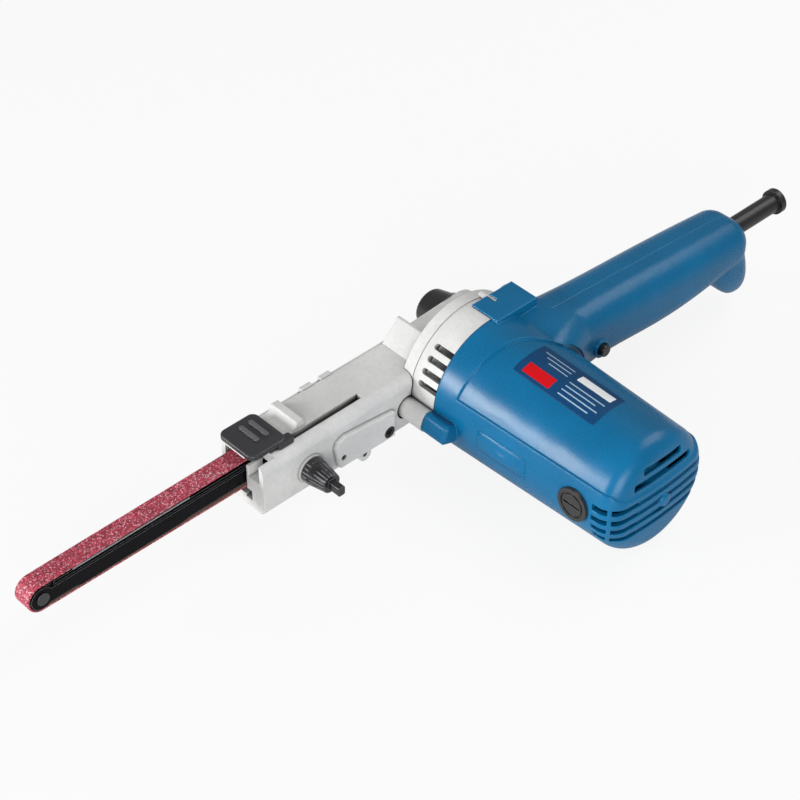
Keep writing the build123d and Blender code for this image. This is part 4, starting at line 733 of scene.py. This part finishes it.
class SANDER_OT_mouldings(Operator):
    """Blue motor housing and handle."""

    bl_idname = "sander.mouldings"
    bl_label = "Blue mouldings"

    def execute(self, context):
        look = context.scene.sander_finish
        glossy = {"grain": 1500.0, "roughness": 0.27, "rounding": 3.0, "shine": 0.26, "wear_and_sheen": 3.6}
        blue = moulding("blue_moulding", look.blue, look, **glossy)
        dress("motor_housing handle_cover", blue)
        return {"FINISHED"}


class SANDER_OT_castings(Operator):
    """Pale castings of the arm and gears."""

    bl_idname = "sander.castings"
    bl_label = "Castings"

    def execute(self, context):
        look = context.scene.sander_finish
        pale = casting("pale_casting", look.casting, look)
        dress("arm_housing gear_housing belt_cover bearing_plate", pale)
        return {"FINISHED"}


class SANDER_OT_controls(Operator):
    """Black tab, knob, cap, trigger, button, brush caps and cord guard, and the black pieces inside."""

    bl_idname = "sander.controls"
    bl_label = "Black controls"

    def execute(self, context):
        look = context.scene.sander_finish
        # black parts: the large edge lift paints strong highlights on edges, rib tops and flutes
        satin = {"grain": 1900.0, "roughness": 0.24, "rounding": 1.6, "shine": 0.65, "wear_and_sheen": 26.0}
        black = moulding("black_moulding", look.black, look, **satin)
        dress("pulley_cap trigger lock_button switch_body cooling_fan air_baffle tip_roller_pin", black)
        # knob: painted highlight lines on its flutes
        knob = moulding("knob_black", look.black, look, **satin, flutes="tracking_knob")
        dress("tracking_knob", knob)
        rib_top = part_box("tension_tab")[1][2]
        # tab: painted highlight on its rib tops
        tab = moulding("tab_black", tint(look.black, 3.0), look, grain=2300.0, roughness=0.36, crown=rib_top)
        dress("tension_tab", tab)
        rubber = moulding("guard_rubber", tint(look.black, 1.2), look, grain=1300.0, roughness=0.34)
        dress("cord_guard", rubber)
        resin = moulding("brush_cap_resin", CAP_RESIN, look, grain=1700.0, roughness=0.34)
        dress("brush_caps", resin)
        return {"FINISHED"}


class SANDER_OT_metals(Operator):
    """Arm, rollers, gears, bearings, screws, windings and brushes."""

    bl_idname = "sander.metals"
    bl_label = "Metal pieces"

    def execute(self, context):
        look = context.scene.sander_finish
        dress("belt_arm", coated_arm("coated_arm", look.arm, look))
        steel = turned_metal("bare_steel", BARE_STEEL, look, roughness=0.22)
        dress("arm_platens tip_roller carrier_pivot_pin drive_pulley pulley_nut spindle spindle_gear", steel)
        dress("spindle_bearing motor_bearing_front armature_shaft motor_bearing_rear brush_springs", steel)
        dark = turned_metal("blackened_steel", DARK_STEEL, look, roughness=0.30)
        dress("arm_carrier arm_screw belt_cover_screws housing_screws handle_screws", dark)
        dress("armature_core stator_core", dark)
        brass = turned_metal("brass", BRASS, look, roughness=0.26)
        dress("spindle_bush brush_holders", brass)
        dress("armature_windings commutator field_coils", wound_copper("wound_copper"))
        carbon = moulding("pressed_carbon", CARBON, look, grain=2600.0, roughness=0.6)
        dress("carbon_brushes", carbon)
        return {"FINISHED"}


class SANDER_OT_belt(Operator):
    """Grit belt: a closed band whose outer face carries grains."""

    bl_idname = "sander.belt"
    bl_label = "Grit belt"

    def execute(self, context):
        """The band is the loop path times a flat section; grains lift the outer face by blurred noise."""
        size = context.scene.sander_belt
        look = context.scene.sander_finish
        rows, columns = size.steps_along, size.steps_across
        section = columns + CLOTH_STEPS
        across = np.concatenate([np.linspace(-1.0, 1.0, columns), np.linspace(1.0, -1.0, CLOTH_STEPS)])
        lift = np.concatenate([np.full(columns, 0.5), np.full(CLOTH_STEPS, -0.5)])
        grain = smooth_random((rows, columns), GRAIN_SEED, GRAIN_BLURS) * size.grain
        grain[:, (0, -1)] = -GRIT_EDGE_DROP
        depth = np.tile(lift * BELT_THICK, (rows, 1))
        depth[:, :columns] += grain - size.grain
        x, z, normal_x, normal_z = loop_path(np.linspace(0.0, 1.0, rows, endpoint=False))
        points = np.empty((rows, section, 3))
        points[..., 0] = x[:, None] + normal_x[:, None] * depth
        points[..., 1] = BELT_Y + across * BELT_WIDTH / 2
        points[..., 2] = z[:, None] + normal_z[:, None] * depth
        faces = grid_faces(rows, section, wrap_rows=True, wrap_columns=True)
        belt = new_piece("grit_belt", points, faces, grit_coat("red_grit", look.grit))
        belt.data.materials.append(belt_cloth("belt_cloth"))
        inside = np.arange(len(faces)) % section >= columns
        belt.data.polygons.foreach_set("material_index", inside.astype(np.int32))
        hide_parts("sanding_belt")
        return {"FINISHED"}


class SANDER_OT_spring(Operator):
    """Coil behind the arm, riding on the carrier."""

    bl_idname = "sander.spring"
    bl_label = "Tension spring"

    def execute(self, context):
        """A round wire carried along a helix about X; each ring of the wire stands square to the helix."""
        low, high = (np.array(corner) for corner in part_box("tension_spring"))
        middle = (low + high) / 2
        length = high[0] - low[0]
        wire = SPRING_WIRE / 2
        radius = (high[2] - low[2]) / 2 - wire
        sweep = 2 * math.pi * SPRING_TURNS
        pitch = (length - SPRING_WIRE) / sweep
        rings = SPRING_RINGS * SPRING_TURNS
        turn = np.linspace(0.0, sweep, rings)[:, None]
        around = np.linspace(0.0, 2 * math.pi, SPRING_SIDES, endpoint=False)[None, :]
        reach = radius + wire * np.cos(around)
        sideways = wire * np.sin(around) / math.hypot(radius, pitch)
        x = low[0] + wire + pitch * turn - sideways * radius
        y = middle[1] + reach * np.cos(turn) - sideways * pitch * np.sin(turn)
        z = middle[2] + reach * np.sin(turn) + sideways * pitch * np.cos(turn)
        points = np.stack([x, y, z], -1)
        steel = bpy.data.materials["bare_steel"]
        coil = new_piece("coil_spring", points, ring_faces(rings, SPRING_SIDES), steel, "carrier")
        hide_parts("tension_spring")
        joints = {joint["name"]: joint for joint in frame["record"]["behaviour"]["joints"]}
        travel = joints["arm_slide"]["range_m"][1]
        1.0 - travel / length
        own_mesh(coil)
        return {"FINISHED"}


class SANDER_OT_plates(Operator):
    """Plain plate on top of the motor and bare pad on its side."""

    bl_idname = "sander.plates"
    bl_label = "Plates"

    def execute(self, context):
        """Each plate is rings of a rounded rectangle laid on the tapered barrel, the last one sunk in.

        A point beside the axis stands off it by the root of the radius squared less its offset squared.
        """
        look = context.scene.sander_finish
        faces = ring_faces(len(PLATE_SHARES), PLATE_STEPS)
        first, second = rounded_outline(PLATE_ACROSS, PLATE_ALONG, PLATE_CORNER)
        x = PLATE_X + PLATE_SHARES * first
        y = PLATE_Y + PLATE_SHARES * second
        radius = barrel_radius(y) - DOME_STEP + plate_lifts(PLATE_TOP, PLATE_RIM)
        z = AXIS_Z + np.sqrt(radius**2 - x**2)
        points = np.stack([x, y, z], -1)[::-1]  # from the rim in, so that the faces point up
        new_piece("motor_plate", points, faces, plate_print("plate_print", look))
        first, second = rounded_outline(PAD_ACROSS, PAD_ALONG, PAD_CORNER)
        rise = PAD_RISE + PLATE_SHARES * first
        y = PAD_Y + PLATE_SHARES * second
        radius = barrel_radius(y) + plate_lifts(PAD_TOP, PAD_RIM)
        x = np.sqrt(radius**2 - rise**2)
        points = np.stack([x, y, AXIS_Z + rise], -1)
        blue = frame["nodes"]["motor_housing"].data.materials[0]
        new_piece("side_pad", points, faces, blue)
        return {"FINISHED"}


class SANDER_OT_stage(Operator):
    """Pale floor, soft lamps, even sky and the camera."""

    bl_idname = "sander.stage"
    bl_label = "Studio"

    def execute(self, context):
        scene = context.scene
        stage = scene.sander_stage
        scene.view_settings.view_transform = "Standard"
        self.floor(scene, stage)
        self.sky(scene, stage)
        for name, (place, size) in LAMPS.items():
            self.lamp(scene, f"{name}_lamp", getattr(stage, name), place, size)
        self.camera(scene, stage)
        return {"FINISHED"}

    def floor(self, scene, stage):
        """A flat square of matt grey that takes the shadow, seen through a share of plain white."""
        paint = new_paint("pale_floor")
        paint.finish(Base_Color=FLOOR_GREY, Roughness=0.9, Specular_IOR_Level=0.1)
        matt = Value(paint, paint.tree.nodes["Principled BSDF"].outputs["BSDF"])
        white = paint.node("ShaderNodeEmission", {}, {"Strength": 1.0})["Emission"]
        paint.show("Material Output", paint.seen_white(stage.mirror) * stage.veil, matt, white)
        span = np.array([-FLOOR_HALF, FLOOR_HALF])
        x, y = np.meshgrid(span, span, indexing="ij")
        points = np.stack([x, y, np.full_like(x, FLOOR_Z)], -1)
        mesh = bpy.data.meshes.new("floor")
        mesh.from_pydata(points.reshape(-1, 3), [], [(0, 2, 3, 1)])
        mesh.materials.append(paint.owner)
        floor = bpy.data.objects.new("floor", mesh)
        scene.collection.objects.link(floor)

    def sky(self, scene, stage):
        """Even light on the object; the camera sees plain white, and reflections a share of it."""
        paint = Paint(bpy.data.worlds.new("even_sky"))
        scene.world = paint.owner
        background = paint.tree.nodes["Background"]
        paint.feed(background.inputs["Color"], WHITE)
        paint.feed(background.inputs["Strength"], stage.sky)
        even = Value(paint, background.outputs["Background"])
        white = paint.node("ShaderNodeBackground", {}, {"Color": WHITE, "Strength": 1.0})["Background"]
        paint.show("World Output", paint.seen_white(stage.mirror), even, white)

    def lamp(self, scene, name, power, place, size):
        """A square lamp that faces the object."""
        data = bpy.data.lights.new(name, "AREA")
        data.energy = power
        data.size = size
        lamp = bpy.data.objects.new(name, data)
        lamp.location = place
        lamp.rotation_euler = (Vector(place) - Vector(LAMP_AIM)).to_track_quat("Z", "Y").to_euler()
        scene.collection.objects.link(lamp)

    def camera(self, scene, stage):
        """The camera at its place, looking against the aim."""
        data = bpy.data.cameras.new("camera")
        data.sensor_width = SENSOR_MM
        data.lens = stage.lens
        data.clip_start = CLIP_START
        camera = bpy.data.objects.new("camera", data)
        camera.rotation_euler = Vector(stage.aim).to_track_quat("Z", "Y").to_euler()
        camera.location = stage.eye
        scene.collection.objects.link(camera)
        scene.camera = camera


GROUPS = {"sander_finish": SanderFinish, "sander_belt": SanderBelt, "sander_stage": SanderStage}
PIECES = (
    SANDER_OT_mouldings,
    SANDER_OT_castings,
    SANDER_OT_controls,
    SANDER_OT_metals,
    SANDER_OT_belt,
    SANDER_OT_spring,
    SANDER_OT_plates,
    SANDER_OT_stage,
)


class SANDER_PT_panel(Panel):
    """Sidebar list of the sander's values and pieces."""

    bl_idname = "SANDER_PT_panel"
    bl_label = "Narrow belt sander"
    bl_space_type = "VIEW_3D"
    bl_region_type = "UI"
    bl_category = "Sander"

    def draw(self, context):
        for name, group in GROUPS.items():
            for value in group.__annotations__:
                self.layout.prop(getattr(context.scene, name), value)
        for piece in PIECES:
            self.layout.operator(piece.bl_idname)


CLASSES = (*GROUPS.values(), *PIECES, SANDER_PT_panel)


def register():
    """Registers the classes and gives every scene the three groups of values."""
    for item in CLASSES:
        bpy.utils.register_class(item)
    for name, group in GROUPS.items():
        setattr(bpy.types.Scene, name, PointerProperty(type=group))


def unregister():
    """Takes back what register gave."""
    for name in GROUPS:
        delattr(bpy.types.Scene, name)
    for item in reversed(CLASSES):
        bpy.utils.unregister_class(item)


def main():
    """Registers the add-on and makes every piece."""
    register()
    for piece in PIECES:
        group, name = piece.bl_idname.split(".")
        getattr(getattr(bpy.ops, group), name)()


if __name__ == "__main__":
    main()
